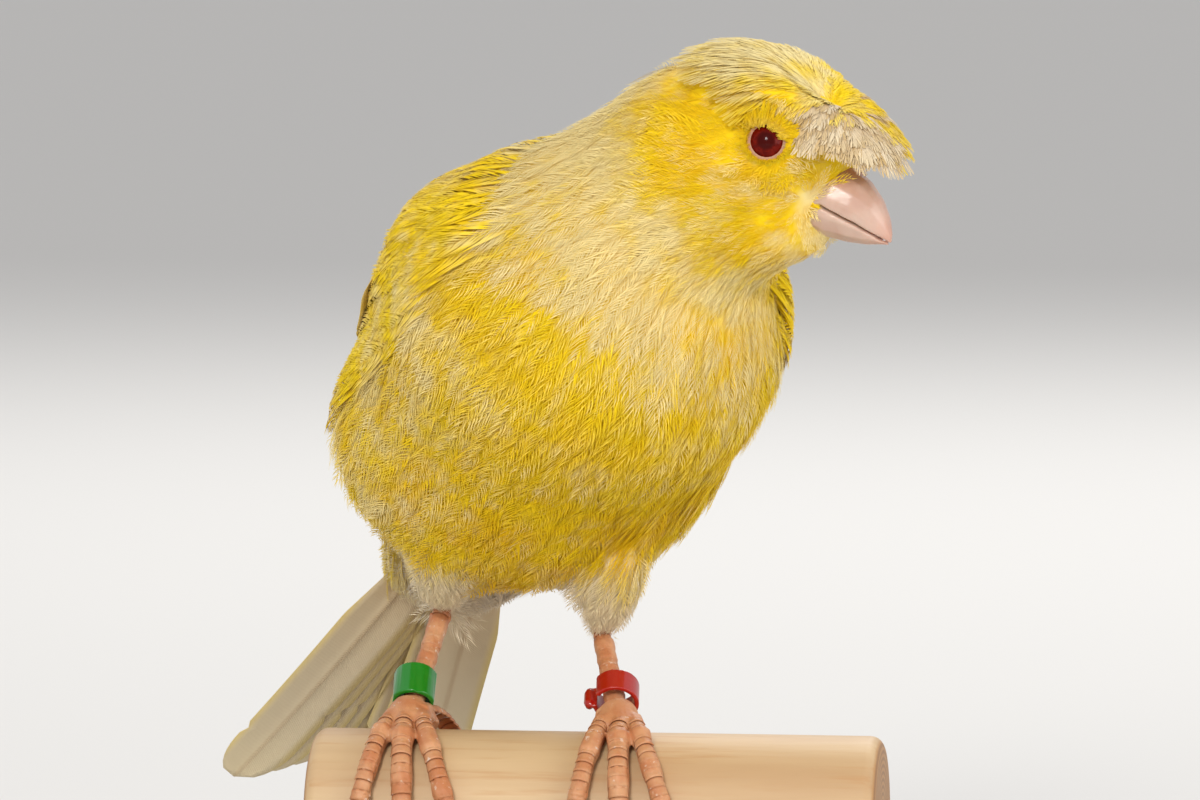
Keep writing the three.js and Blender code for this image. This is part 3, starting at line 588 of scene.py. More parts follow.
on_face = on_head * from_to(head_x, -6, 4) * from_to(-head_z, -4, 1)
below_bill = (head_z < -2) & (head_x > 5)
length = BODY_LENGTH - 2.8 * on_neck - 3.0 * on_head
length = blend(length, FACE_LENGTH, on_face)
length = blend(length, THIGH_LENGTH - (THIGH_LENGTH - HEEL_LENGTH) * down_thigh, on_thigh)
length = blend(length, TAIL_ROOT_LENGTH, on_tail)
length *= 0.5 + 0.5 * from_to(near_eye, 3.2, 6.0)
length *= 0.65 + 0.35 * from_to(to_horn, 1.5, 5.0)
length = np.where(below_bill, length * (0.55 + 0.45 * from_to(to_horn, 0.8, 4.0)), length)

skin_tree = tree_for(skin.data)
sag = []
for tip, normal in zip(skin_co + lie * length[:, None] * MM, skin_normals):
    nearest = skin_tree.find_nearest(Vector(tip))[0]
    sag.append((Vector(tip) - nearest).dot(Vector(normal)))
rises = np.degrees(np.arctan(DROOP + TIP_LIFT - np.array(sag) / MM / length))
rises = np.clip(rises, 0, STEEPEST - 15 * on_tail)
rises += 8 * from_to(-head_z, 3, 7) * from_to(head_x, 3, 8) * on_head
rises += 16 * by_bill + 4 * by_eye
print("lengths", round(length.min(), 1), "to", round(length.max(), 1), "mm")

# %% [markdown]
# No feathers grow where the eye, the bill, the crest or the folded wing covers the skin. They
# could be left there unseen, but they would poke through what lies over them. The crest spreads
# from a whorl on the head, short in front and long behind, so its outline is worked out here too.
# %% Cover
CREST_FORWARD = 8.7
CREST_TOP = 6.9
EYE_OPENING = 1.88
NEAR_COVER = 5 * MM
WING_GAP = 1.5 * MM


def round_crest(cosine, front, side, back):
    """A size of the crest that changes from front to side to back, at an angle's cosine."""
    ahead = side + (front - side) * np.clip(cosine, 0, 1) ** 1.2
    behind = side + (back - side) * np.clip(-cosine, 0, 1) ** 1.6
    return np.where(cosine > 0, ahead, behind)


from_whorl = np.hypot(head_x - CREST_FORWARD, head_y)
crest_cosine = (head_x - CREST_FORWARD) / np.maximum(from_whorl, 1e-3)
crest_share = from_whorl / round_crest(crest_cosine, 9.4, 8.3, 14)
by_crest = (crest_share < 1.05) & (head_z > 2.5)
rises = np.where(by_crest, np.minimum(rises, 9), rises)
length = np.where(by_crest, 0.7 * length, length)

gaze = np.where(left_is_nearer, GAZE["left"], GAZE["right"])
off_axis = length_of(from_eye - gaze * np.sum(from_eye * gaze, axis=1, keepdims=True))
cover = ((near_eye > 4) | (off_axis > EYE_OPENING)) * 1.0
cover[((crest_share < 0.88) & (head_z > 3.0)) | (head_x > 11.5) | (body_x < -33)] = 0.0
cover[(by_bill > 0.3) & (head_z > 2)] = 0.0
cover[(head_on > 0.75) & ((on_thigh > 0.5) | (on_tail > 0.5))] = 0.0
wing_tree = tree_for(merged_copy("wing_probe", ["wing_left", "wing_right"]).data)
for i, (point, normal) in enumerate(zip(skin_co, skin_normals)):
    ray = Vector(point), Vector(normal), NEAR_COVER
    wing_hit, _, _, wing_away = wing_tree.ray_cast(*ray)
    if wing_hit is not None and wing_away > WING_GAP:
        cover[i] = 0.0
    if head_x[i] > 5 and bill_tree.ray_cast(*ray)[0] is not None:
        cover[i] = 0.0
print("bare points", int((cover == 0).sum()))

# %% [markdown]
# Two values carry the markings. Frost is the pale edge that each feather has: weak on the face,
# stronger on nape, collar and flanks, full on thighs and under the tail. Gold is the deep yellow
# of forehead, lores and lower belly. The photograph's colours could be copied spot by spot, but
# two values that follow the bird's regions also hold for the side that it doesn't show.
# %% Frost and gold
MIRRORED = (1, 0, 1)
on_back = from_to(body_z, -4, 6)
rightward = from_to(-body_y, 4, 17)
on_nape = on_head * from_to(-head_x, 0, 7)
under_tail = from_to(-body_x, 15, 24) * from_to(-body_z, -3, 2)
low_belly = from_to(-body_z, 6, 14) * from_to(-body_x, -8, 4)
from_head = length_of(in_head)
collar = from_to(from_head, 9, 13) * from_to(-from_head, -25, -15)
lores = nearness(in_head * MIRRORED, (9.2, 0, 3.2), 4.5)
brow = nearness(in_head * MIRRORED, (5.5, 0, 6.2), 3.6)
golden_face = np.maximum(lores, brow)

frost = 0.32 + 0.24 * on_back + 0.15 * rightward * (1 - on_back) + 0.15 * on_neck
frost = blend(frost, 0.27 + 0.52 * on_nape, on_head)
frost += 0.32 * collar
frost = np.maximum(frost, np.maximum(1.0 * on_thigh + 0.12 * down_thigh, 1.1 * under_tail))
frost = np.minimum(frost, 1.1)
frost = np.where(on_head > 0.5, frost - 0.3 * golden_face + 0.25 * by_bill * (head_z < 0), frost)
gold = 0.25 * (1 - on_back) + 0.3 * on_head * from_to(head_x, -8, 2)
gold = np.clip(gold + 0.35 * low_belly + 1.2 * on_head * golden_face, 0, 2)
print("frost", round(frost.min(), 2), round(frost.max(), 2), "gold", round(gold.max(), 2))

# %% [markdown]
# The coat is made in seven pieces, so that each one stays light, and each piece can be baked. For
# that every feather needs a place on a flat map: the angle round the body or the head gives one
# direction of the map and the distance along it the other.
# %% Regions and their map
REGIONS = ["face", "nape", "breast", "belly", "back", "thighs", "rims"]
NUMBER = {name: i for i, name in enumerate(REGIONS)}


def unwrapped(points, behind, long):
    """A place on the map: the angle round the x axis, and how far along it."""
    angle = np.arctan2(points[:, 1], points[:, 2]) / (2 * np.pi) + 0.5
    return np.stack([angle, (points[:, 0] + behind) / long, 0 * angle], 1)


on_map = np.where(on_head[:, None] > 0.5, unwrapped(in_head, 22, 40), unwrapped(in_body, 45, 90))
below = np.where(body_x > 2, NUMBER["breast"], NUMBER["belly"])
region = np.where(body_z > 1, NUMBER["back"], below)
region = np.where(on_head > 0.35, NUMBER["nape"], region)
region = np.where((on_head > 0.35) & (head_x > -2.5) & (head_z < 5), NUMBER["face"], region)
region = np.where(on_thigh > 0.5, NUMBER["thighs"], region)
region = np.where((by_bill > 0.5) | (by_eye > 0.7), NUMBER["rims"], region)

skin_mesh = skin.data
kept_values = {
    "length": length * MM, "rises": np.radians(rises), "cover": cover, "frost": frost, "gold": gold,
}
for name, values in kept_values.items():
    store(skin_mesh, name, values)
directions = {"lie": lie, "facing": skin_normals, "unwrap": np.clip(on_map, 0.01, 0.98)}
for name, values in directions.items():
    store(skin_mesh, name, values, "FLOAT_VECTOR")
first_corner = np.array([p.vertices[0] for p in skin_mesh.polygons])
store(skin_mesh, "region", region[first_corner], "FLOAT", "FACE")
print({name: int((region == i).sum()) for name, i in NUMBER.items()})

# %% [markdown]
# A contour feather is a shaft with two rows of barbs. A flat card with a picture of barbs would
# be light, but its edge is a cut line. Here each barb is a closed spindle of six faces: a point
# at the shaft, a three-sided middle and a point at the feather's edge. Barbs leave the shaft at
# an angle and swing towards the tip. Feathers have unit length here and get their size where they
# grow. Four variants keep them from looking stamped.
# %% One soft feather
VARIANTS = 4
SHAFT_TONE = 0.6


def spindle(points, width, facing, faces, verts):
    """A closed three-sided spindle through points, widest between its ends."""
    base = len(verts)
    verts.append(points[0])
    for i in range(1, len(points) - 1):
        along = points[i + 1] - points[i - 1]
        side = np.cross(facing, along)
        side = side / max(np.linalg.norm(side), 1e-9) * width
        ridge = facing * width * 0.35
        verts.extend([points[i] + side, points[i] - side, points[i] + ridge])
    verts.append(points[-1])
    last = len(verts) - 1
    ring = [base + 1, base + 2, base + 3]
    for k in range(3):
        faces.append((base, ring[(k + 1) % 3], ring[k]))
    for i in range(2, len(points) - 1):
        upper = [r + 3 for r in ring]
        for k in range(3):
            faces.append((ring[k], ring[(k + 1) % 3], upper[(k + 1) % 3], upper[k]))
        ring = upper
    for k in range(3):
        faces.append((ring[k], ring[(k + 1) % 3], last))
    return last + 1 - base


def keep_blade(mesh, verts, hair):
    """Where on the unit feather each point is, and each barb's own tone, for trees and finishes."""
    blade = np.array(verts)
    store(mesh, "hair", hair)
    store(mesh, "blade", blade, "FLOAT_VECTOR")
    store(mesh, "along", np.clip(blade[:, 0], 0, 1))


def soft_feather(name, barbs, half, width, steps=1, swing=0.55, droop=DROOP, wild=0.035, camber=0.4):
    """A feather of barbs, from x = 0 to about 1, as wide as half to each side."""
    verts, faces, hair = [], [], []
    up = np.array([0.0, 0.0, 1.0])

    def surface(x, y):
        return np.array([x, y, -droop * x * x - camber * y * y])

    shaft = [surface(x, 0) for x in np.linspace(0, 0.96, steps + 2)]
    count = spindle(shaft, width, up, faces, verts)
    hair.extend([SHAFT_TONE] * count)
    for i in range(barbs):
        for side in (-1, 1):
            start_x = 0.08 + 0.84 * (i + 0.5 * rng.random()) / barbs
            end_x = start_x + swing * (1.05 - 0.8 * start_x) + wild * rng.normal()
            full = half * (0.75 + 0.25 * min(1, 3 * start_x))
            spread = full * (1 - 0.8 * max(0, start_x - 0.35) / 0.6) + wild * 0.4 * rng.normal()
            points = []
            for t in np.linspace(0, 1, steps + 2):
                x = start_x + (end_x - start_x) * t ** 1.15
                y = side * spread * (1 - (1 - t) ** 1.5)
                points.append(surface(x, y) + up * (0.012 * rng.random() + 0.03 * t * rng.random()))
            count = spindle(points, width, up, faces, verts)
            hair.extend([rng.random()] * count)
    mesh = bpy.data.meshes.new(name)
    mesh.from_pydata([tuple(v) for v in verts], [], faces)
    keep_blade(mesh, verts, hair)
    return mesh


def variants(name, make, **sizes):
    kept = bpy.data.collections.new(name)
    for i in range(VARIANTS):
        kept.objects.link(bpy.data.objects.new(f"{name}_{i}", make(f"{name}_{i}", **sizes)))
    return kept


BODY_FEATHERS = variants("body_feather", soft_feather, barbs=14, half=0.23, width=0.0065)
FACE_FEATHERS = variants("face_feather", soft_feather, barbs=9, half=0.23, width=0.011)
RIM_FEATHERS = variants("rim_feather", soft_feather, barbs=5, half=0.25, width=0.02, droop=0.1)

# %% [markdown]
# The coat is a Geometry Nodes tree on the skin. It scatters points evenly over one region, turns
# each feather so that it lies along the skin's direction and rises a little from it, gives it
# the length kept in the skin, and realizes the instances. A UV map for baking puts each feather
# on a small patch at its root's place on the skin's own map.
# %% Tree: feathers on the skin
MOST_IN_A_SQUARE_METRE = 4e6
BAKED_FEATHER = 0.003
coat_inputs = [
    ("Region", "NodeSocketFloat", 0.0),
    ("Spacing", "NodeSocketFloat", 1.3 * MM),
    ("Seed", "NodeSocketInt", 1),
    ("Feathers", "NodeSocketCollection", None),
    ("Finish", "NodeSocketMaterial", None),
]
tree, start, end = new_tree("coat", coat_inputs)


def one_of(tree, start, seed):
    """The inputs of an instancing node that picks one variant for each point."""
    inputs = {"Collection": out(start, "Feathers"), 1: True, 2: True}
    flock = put(tree, "GeometryNodeCollectionInfo", inputs)
    pick = chance(tree, 0, VARIANTS - 1, seed, "INT")
    return {"Instance": out(flock), "Pick Instance": True, "Instance Index": pick}


def baking_map(tree, geometry):
    """Each feather on a small patch, at its root's place on the skin's map."""
    patch = vectors(tree, "SCALE", named(tree, "blade", "FLOAT_VECTOR"), scale=BAKED_FEATHER)
    spot = vectors(tree, "ADD", named(tree, "unwrap", "FLOAT_VECTOR"), patch)
    return keep(tree, geometry, "OFBake", spot, "FLOAT2", "CORNER")


inputs = {
    "Mesh": out(start, "Geometry"),
    "Selection": maths(tree, "COMPARE", named(tree, "region"), out(start, "Region"), 0.4),
    "Distance Min": out(start, "Spacing"),
    "Density Max": MOST_IN_A_SQUARE_METRE,
    "Density Factor": named(tree, "cover"),
    "Seed": out(start, "Seed"),
}
scatter = put(tree, "GeometryNodeDistributePointsOnFaces", inputs, distribute_method="POISSON")
laid = laid_along(tree, named(tree, "facing", "FLOAT_VECTOR"), named(tree, "lie", "FLOAT_VECTOR"))
roll = chance(tree, -0.2, 0.2, 4)
rise = maths(tree, "SUBTRACT", chance(tree, -0.02, 0.02, 3), named(tree, "rises"))
sway = chance(tree, -0.14, 0.14, 5)
wobble = put(tree, "ShaderNodeCombineXYZ", {0: roll, 1: rise, 2: sway})
turn = put(tree, "FunctionNodeEulerToRotation", {"Euler": out(wobble)})
inputs = {"Rotation": laid, "Rotate By": out(turn)}
rotation = put(tree, "FunctionNodeRotateRotation", inputs, rotation_space="LOCAL")
size = maths(tree, "MULTIPLY", named(tree, "length"), chance(tree, 0.82, 1.15, 6))
inputs = {"Points": out(scatter, "Points"), "Rotation": out(rotation), "Scale": size}
inputs.update(one_of(tree, start, 7))
planted = put(tree, "GeometryNodeInstanceOnPoints", inputs)
planted = keep(tree, out(planted), "own", chance(tree, 0.0, 1.0, 8), "FLOAT", "INSTANCE")
real = out(put(tree, "GeometryNodeRealizeInstances", {"Geometry": planted}))
end_tree(tree, baking_map(tree, real), out(start, "Finish"), end)
COAT_TREE = tree

# %% [markdown]
# One spacing for the whole bird would either leave the face bald or make the breast too heavy,
# so each region has its own, in step with the length of its feathers. Short feathers on the face
# and round eyes and bill have fewer barbs. Feathers are flat shaded: at their size a rounded
# shade would only smear the barbs.
# %% The coat, region by region
SPACING = {"face": 0.5, "nape": 0.85, "breast": 0.95, "belly": 0.95, "back": 1.14}
SPACING.update(thighs=0.62, rims=0.3)
KINDS = {"face": FACE_FEATHERS, "rims": RIM_FEATHERS}

for name, i in NUMBER.items():
    patch = show(f"coat_{name}", skin_mesh.copy())
    sizes = {"Region": float(i), "Spacing": SPACING[name] * MM, "Seed": i + 1}
    kind = KINDS.get(name, BODY_FEATHERS)
    grown_by(COAT_TREE, patch, smooth=False, Feathers=kind, Finish=COAT, **sizes)
    finish_piece(patch)
    print(patch.name, faces_of(patch), "triangles")
for probe in ("bill_probe", "wing_probe"):
    bpy.data.objects.remove(bpy.data.objects[probe])

# %% [markdown]
# Flight feathers, tail feathers and the crest each follow a line of their own, so they can't be
# scattered. A guide is a chain of points from root to tip that knows which way its feather faces
# and how wide it is. One tree turns every chain into a curve, puts a straight feather on it and
# bends the feather along it: x runs along the curve, y to its side and z off its face.
# %% Tree: feathers along guides
guide_inputs = [
    ("Feathers", "NodeSocketCollection", None),
    ("Finish", "NodeSocketMaterial", None),
    ("Seed", "NodeSocketInt", 1),
]
tree, start, end = new_tree("feathers along guides", guide_inputs)
curves = out(put(tree, "GeometryNodeMeshToCurve", {"Mesh": out(start, "Geometry")}))
count = put(tree, "GeometryNodeAttributeDomainSize", {"Geometry": curves}, component="CURVE")
roots = out(put(tree, "GeometryNodePoints", {"Count": out(count, "Spline Count")}))
roots = keep(tree, roots, "guide", out(put(tree, "GeometryNodeInputIndex")), "INT")
inputs = {"Points": roots}
inputs.update(one_of(tree, start, out(start, "Seed")))
placed = out(put(tree, "GeometryNodeInstanceOnPoints", inputs))
straight = out(put(tree, "GeometryNodeRealizeInstances", {"Geometry": placed}))
parts = put(tree, "ShaderNodeSeparateXYZ", {0: named(tree, "blade", "FLOAT_VECTOR")})
guide = named(tree, "guide", "INT")


def sampled(what):
    """A value of a feather's own guide, at the feather's point's share of its length."""
    inputs = {"Curves": curves, "Value": named(tree, what, "FLOAT_VECTOR"), "Factor": out(parts, "X")}
    inputs["Curve Index"] = guide
    return put(tree, "GeometryNodeSampleCurve", inputs, data_type="FLOAT_VECTOR", mode="FACTOR")


on_curve = sampled("facing")
tangent = out(on_curve, "Tangent")
face = out(on_curve, "Value")
face = vectors(tree, "NORMALIZE", vectors(tree, "SUBTRACT", face, vectors(tree, "PROJECT", face, tangent)))
side = vectors(tree, "CROSS_PRODUCT", face, tangent)
traits = put(tree, "ShaderNodeSeparateXYZ", {0: out(sampled("traits"), "Value")})
across = vectors(tree, "SCALE", side, scale=maths(tree, "MULTIPLY", out(parts, "Y"), out(traits, "X")))
off = vectors(tree, "SCALE", face, scale=maths(tree, "MULTIPLY", out(parts, "Z"), out(traits, "X")))
spot = vectors(tree, "ADD", vectors(tree, "ADD", out(on_curve, "Position"), across), off)
bent = out(put(tree, "GeometryNodeSetPosition", {"Geometry": straight, "Position": spot}))
bent = keep(tree, bent, "frost", out(traits, "Y"))
bent = keep(tree, bent, "gold", out(traits, "Z"))
bent = keep(tree, bent, "unwrap", out(sampled("unwrap"), "Value"), "FLOAT_VECTOR")
end_tree(tree, baking_map(tree, bent), out(start, "Finish"), end)
GUIDE_TREE = tree

# %% [markdown]
# The guides of one piece are kept in one mesh of chains. What the tree has to know of a guide is
# stored on its points: the way it faces, its half width with its frost and gold, and its place on
# the baking map. Guides could be curve objects, but arrays of points are quicker to make.
# %% Guides
def guide_line(points, facing, half, frost=0, gold=0, where=(0, 0)):
    return {"points": points, "facing": facing, "traits": (half * MM, frost, gold), "where": (*where, 0)}


def straight_guide(place, line, facing, half, frost, gold, where, count=10):
    """A guide along a line given in a frame, for shares of its length from 0 to 1."""
    points = [at(place, *line(t)) for t in np.linspace(0, 1, count)]
    return guide_line(points, [facing] * count, half, frost, gold, where)


def guides(name, lines):
    """A mesh of chains, with what each line knows stored on its points."""
    verts, edges, facing, traits, places = [], [], [], [], []
    for line in lines:
        base, count = len(verts), len(line["points"])
        verts.extend(line["points"])
        edges.extend((base + i, base + i + 1) for i in range(count - 1))
        facing.extend(line["facing"])
        traits.extend([line["traits"]] * count)
        places.extend([line["where"]] * count)
    mesh = bpy.data.meshes.new(name)
    mesh.from_pydata([tuple(v) for v in verts], edges, [])
    for label, values in (("facing", facing), ("traits", traits), ("unwrap", places)):
        store(mesh, label, [tuple(v) for v in values], "FLOAT_VECTOR")
    return show(name, mesh)


def grown_along(name, lines, feathers, finish, seed, smooth=False):
    """A piece of feathers, one along each guide."""
    piece = grown_by(GUIDE_TREE, guides(name, lines), smooth, Feathers=feathers, Finish=finish, Seed=seed)
    print(name, len(lines), "feathers", faces_of(piece), "triangles")
    return piece


# %% [markdown]
# A flight feather is a stiff vane: two webs of barbs hooked into one sheet, with the shaft as a
# ridge. Single barbs can't be told apart at this size, so the web is one thin closed sheet and
# its barbs are fine relief in the finish. A few splits at its edge keep it real.
# %% One vane
def vane(name, tip=0.8, root=0.35, lean=0.0, splits=2, cells=40, thin=0.035):
    """A closed thin sheet from x = 0 to 1, as wide as 1 to each side, with a ridge for the shaft."""
    stations = np.linspace(0, 1, cells + 1)
    across = np.array([-1, -0.7, -0.35, -0.07, 0, 0.07, 0.35, 0.7, 1])
    notches = [(rng.uniform(0.35, 0.85), rng.choice([-1, 1])) for _ in range(splits)]
    verts, faces = [], []
    for x in stations:
        width = min(1, root + 1.6 * x) * math.sqrt(max(0.0008, 1 - max(0, (x - tip) / (1 - tip)) ** 2))
        for y in across:
            reach = 1 + lean * np.sign(y)
            for place, which in notches:
                if which == np.sign(y) and abs(x - place) < 0.6 / cells:
                    reach *= 0.88
            ridge = 0.1 * (1 - 0.8 * x) if abs(y) < 0.05 else 0
            camber = -0.12 * y * y * width
            edge = thin * (1 - 0.7 * abs(y)) + ridge
            verts.append((x, y * width * reach, camber + edge))
            verts.append((x, y * width * reach, camber - edge * 0.7))
    columns = len(across)

    def index(row, column, under):
        return 2 * (row * columns + column) + under

    for r in range(len(stations) - 1):
        for c in range(columns - 1):
            top = (index(r, c, 0), index(r + 1, c, 0), index(r + 1, c + 1, 0), index(r, c + 1, 0))
            faces.append(top)
            faces.append(tuple(reversed([i + 1 for i in top])))
        for c, turned in ((0, False), (columns - 1, True)):
            rim = [index(r, c, 0), index(r, c, 1), index(r + 1, c, 1), index(r + 1, c, 0)]
            faces.append(tuple(reversed(rim) if turned else rim))
    for r, turned in ((0, True), (len(stations) - 1, False)):
        for c in range(columns - 1):
            rim = [index(r, c, 0), index(r, c, 1), index(r, c + 1, 1), index(r, c + 1, 0)]
            faces.append(tuple(reversed(rim) if turned else rim))
    mesh = bpy.data.meshes.new(name)
    mesh.from_pydata(verts, [], faces)
    outward = bmesh.new()
    outward.from_mesh(mesh)
    bmesh.ops.recalc_face_normals(outward, faces=outward.faces)
    outward.to_mesh(mesh)
    outward.free()
    keep_blade(mesh, verts, np.full(len(verts), rng.uniform(0.5, 1.0)))
    return mesh


TAIL_VANES = variants("tail_vane", vane, tip=0.84, root=0.5)
WING_VANES = variants("wing_vane", vane, tip=0.72, root=0.45, lean=0.1)

# %% [markdown]
# A vane's colour is the coat's own, a little duller with brownish grey: partly the feathers' own
# tone and partly painted shade, most on the tail. It has a brownish line along the shaft and a
# clear yellow edge. Its barbs are too fine for a mesh, so they are a slanting wave in the relief.
# The coat's material is copied, so that the markings run on over wings and tail.
# %% Finish of vanes
BARBS_ALONG = 900


def vane_finish(name, dull_and_shade):
    """Plumage with the fine slanting barbs of a vane as relief and tone."""
    material = COAT.copy()
    material.name = name
    tree = material.node_tree
    shader = tree.nodes["Principled BSDF"]
    blade = out(put(tree, "ShaderNodeAttribute", attribute_name="blade"), "Vector")
    blade = put(tree, "ShaderNodeSeparateXYZ", {0: blade})
    aside = maths(tree, "ABSOLUTE", out(blade, "Y"))
    slant = maths(tree, "SUBTRACT", out(blade, "X"), part_of(tree, aside, 0.07))
    barbs = maths(tree, "SINE", part_of(tree, slant, BARBS_ALONG))
    raised(tree, shader, barbs, 0.00003, 0.5)
    # Partly painted shade: the brownish grey mix darkens the vane, most on the tail, besides its own duller
    # tone.
    colour = mixed(tree, dull_and_shade, shader.inputs["Base Color"].links[0].from_socket, linear("A58A66"))
    colour = mixed(tree, stretched(tree, aside, 0.04, 0.12, dull_and_shade, 0.0), colour, linear("B98F5C"))
    colour = mixed(tree, stretched(tree, aside, 0.7, 0.98, 0.0, 0.35), colour, YELLOW)
    coloured(tree, shader, colour)
    return material


TAIL_COAT = vane_finish("tail_plumage", 0.2)
WING_COAT = vane_finish("wing_plumage", 0.1)
print("finishes", TAIL_COAT.name, WING_COAT.name)

# %% [markdown]
# The tail has twelve feathers in a notched fan that hangs behind the perch: the middle pair lies
# on top and is shortest, the outer ones are longest. One rule with a feather's place in the fan
# gives each guide. Twelve feathers placed by hand would look less even than a preened tail does.
# %% Tail
TAIL_FEATHERS = 12
TAIL_LENGTH = {"middle": 50, "outer": 58}
TAIL_SPREAD = math.radians(8)
TAIL_HALF_ROOT = 2.6
TAIL_VANE_HALF = 3.4


def lerp(a, b, t):
    return a + (b - a) * t


def tail_guide(i):
    s = (i + 0.5) / TAIL_FEATHERS * 2 - 1
    turn = TAIL_SPREAD * s
    length = lerp(TAIL_LENGTH["middle"], TAIL_LENGTH["outer"], abs(s) ** 1.3)

    def line(t):
        r = 2 + (length - 2) * t
        across = TAIL_HALF_ROOT * s + r * math.sin(turn) * (1 + 0.1 * t)
        return -r * math.cos(turn), across, 0.5 - 1.9 * abs(s) + 1.2 * t * t

    facing = toward(TAIL, (0, 0, 1)) + 0.09 * np.sign(s) * toward(TAIL, (0, -1, 0))
    return straight_guide(TAIL, line, facing, TAIL_VANE_HALF, 1.02, 0.1, (0.05 + 0.07 * i, 0.1))


tail_lines = [tail_guide(i) for i in range(TAIL_FEATHERS)]
finish_piece(grown_along("tail_feathers", tail_lines, TAIL_VANES, TAIL_COAT, 4, smooth=True))

# %% [markdown]
# Wing feathers lie on the side of the bird. A ray from outside finds the solid there, but single
# rays jump from the wing to the flank behind it, and feathers laid on such steps would kink. So
# rays are shot in a grid, along the body and round it. Each keeps the largest reach of its
# neighbours, the grid is blurred, and a place on the side is read between the grid's points.
# %% The outside of the folded wings
FLANK = tree_for(merged_copy("flank_probe", ["wing_left", "wing_right", "torso", "neck"]).data)
STATIONS = np.arange(-50.0, 28.0, 1.0)
ANGLES = np.arange(0.0, 126.0, 2.0)
FAR_OUT = 45
BODY_AXIS_HEIGHT = 1
LEAST_REACH = 3
ROUND_ABOUT = [(i, j) for i in (-1, 0, 1) for j in (-1, 0, 1)]
NEAR_SPOTS = [(0, 0), (-1, 0), (1, 0), (0, -3), (0, 3)]


def across_body(sign, angle):
    a = math.radians(angle)
    return Vector((0, sign * math.sin(a), math.cos(a)))


def off_axis_place(x, across, reach):
    """The place at a distance from the body's axis, in the direction across it."""
    return at(BODY, x, across.y * reach, BODY_AXIS_HEIGHT + across.z * reach)


def blurred(grid):
    """Each value with its neighbours in both directions."""
    for axis in (0, 1):
        grid = 0.5 * grid + 0.25 * (np.roll(grid, 1, axis) + np.roll(grid, -1, axis))
    return grid


def reach_of_side(sign):
    """How far the outside is from the body's axis, over the grid, and 0 where there is none."""
    reach = np.zeros((len(STATIONS), len(ANGLES)))
    for i, x in enumerate(STATIONS):
        for j, angle in enumerate(ANGLES):
            across = across_body(sign, angle)
            inward = -(BODY.to_3x3() @ across)
            distance = FLANK.ray_cast(off_axis_place(x, across, FAR_OUT), inward)[3]
            if distance is not None:
                reach[i, j] = FAR_OUT - distance / MM
    padded = np.pad(reach, 1, "edge")
    largest = np.max([np.roll(padded, step, (0, 1)) for step in ROUND_ABOUT], axis=0)[1:-1, 1:-1]
    largest = np.where(largest > LEAST_REACH, largest, 0)
    known = (largest > 0) * 1.0
    for _ in range(2):
        largest, known = blurred(largest), blurred(known)
    return np.where((reach > LEAST_REACH) | (known > 0.5), largest / np.maximum(known, 1e-6), 0)


def in_grid(value, marks):
    """A value as a place among evenly spaced marks."""
    return min(max((value - marks[0]) / (marks[1] - marks[0]), 0), len(marks) - 1.001)


def place_on_side(sign, x, angle, lift):
    """The point of the side at a distance along the body and an angle from the back."""
    i, j = in_grid(x, STATIONS), in_grid(angle, ANGLES)
    corner = REACHES[sign][int(i):int(i) + 2, int(j):int(j) + 2]
    if corner.min() <= 0:
        return None
    s, t = i % 1, j % 1
    reach = float(np.array([1 - s, s]) @ corner @ np.array([1 - t, t])) + lift
    return off_axis_place(x, across_body(sign, angle), reach)


def on_side(sign, x, angle, lift):
    """A place on the side, and the way it faces, from its neighbours."""
    spots = [place_on_side(sign, x + dx, angle + da, lift) for dx, da in NEAR_SPOTS]
    if None in spots:
        return None, None
    point, behind, ahead, above, below = spots
    facing = (ahead - behind).cross(below - above) * -sign
    return point, facing.normalized()


REACHES = {sign: reach_of_side(sign) for sign in SIDES.values()}
print("farthest out", {side: round(REACHES[sign].max(), 1) for side, sign in SIDES.items()})

# %% [markdown]
# The folded wing is a fan that has been shut: primaries underneath, secondaries and tertials over
# them, then coverts like roof tiles. Each row runs evenly from its first feather to its last, so
# a row is two roots and two tips, given as a distance along the body and an angle from the back.
# %% Wing feathers
PRIMARIES = dict(count=8, lift=(0, 0.3), half=2.6)
PRIMARIES.update(roots=((4, 76), (0, 58)), tips=((-47, 24), (-30, 20)))
SECONDARIES = dict(count=7, lift=(0.2, 0.5), half=3.0)
SECONDARIES.update(roots=((6, 64), (4, 44)), tips=((-22, 46), (-21, 20)))
TERTIALS = dict(count=3, lift=(0.5, 0.7), half=3.0)
TERTIALS.update(roots=((5, 46), (5, 32)), tips=((-17, 27), (-10, 18)))
COVERTS = dict(count=10, lift=(0.3, 0.5), half=2.2)
COVERTS.update(roots=((8, 78), (6, 34)), tips=((-5, 72), (-7, 28)))
ROWS = (PRIMARIES, SECONDARIES, TERTIALS, COVERTS)
FEWEST_POINTS = 4


def laid_points(sign, root, tip, lift, count=12, sunk=0.5, ease=0.25):
    """Points and facings from root to tip along the outside, as far as there is any."""
    points, facing = [], []
    for t in np.linspace(0, 1, count):
        x, angle = root + (tip - root) * t
        point, normal = on_side(sign, x, angle, lerp(-sunk, lift, min(1, t / ease)))
        if point is None:
            break
        points.append(point)
        facing.append(normal)
    smoothed = list(points)
    for k in range(1, len(points) - 1):
        smoothed[k] = (points[k - 1] + 2 * points[k] + points[k + 1]) / 4
    mean = sum(facing, Vector()).normalized()
    return smoothed, [(0.5 * f + mean).normalized() for f in facing]


def wing_guides(sign):
    lines = []
    for row, sizes in enumerate(ROWS):
        for i in range(sizes["count"]):
            s = i / (sizes["count"] - 1)
            root, tip = (blend(*np.array(sizes[which], float), s) for which in ("roots", "tips"))
            points, facing = laid_points(sign, root, tip, lerp(*sizes["lift"], s))
            if len(points) < FEWEST_POINTS:
                continue
            frosted, where = 0.55 + 0.25 * rng.random(), (0.1 + 0.1 * i, 0.1 + 0.13 * row)
            lines.append(guide_line(points, facing, sizes["half"], frosted, 0.2, where))
    return lines


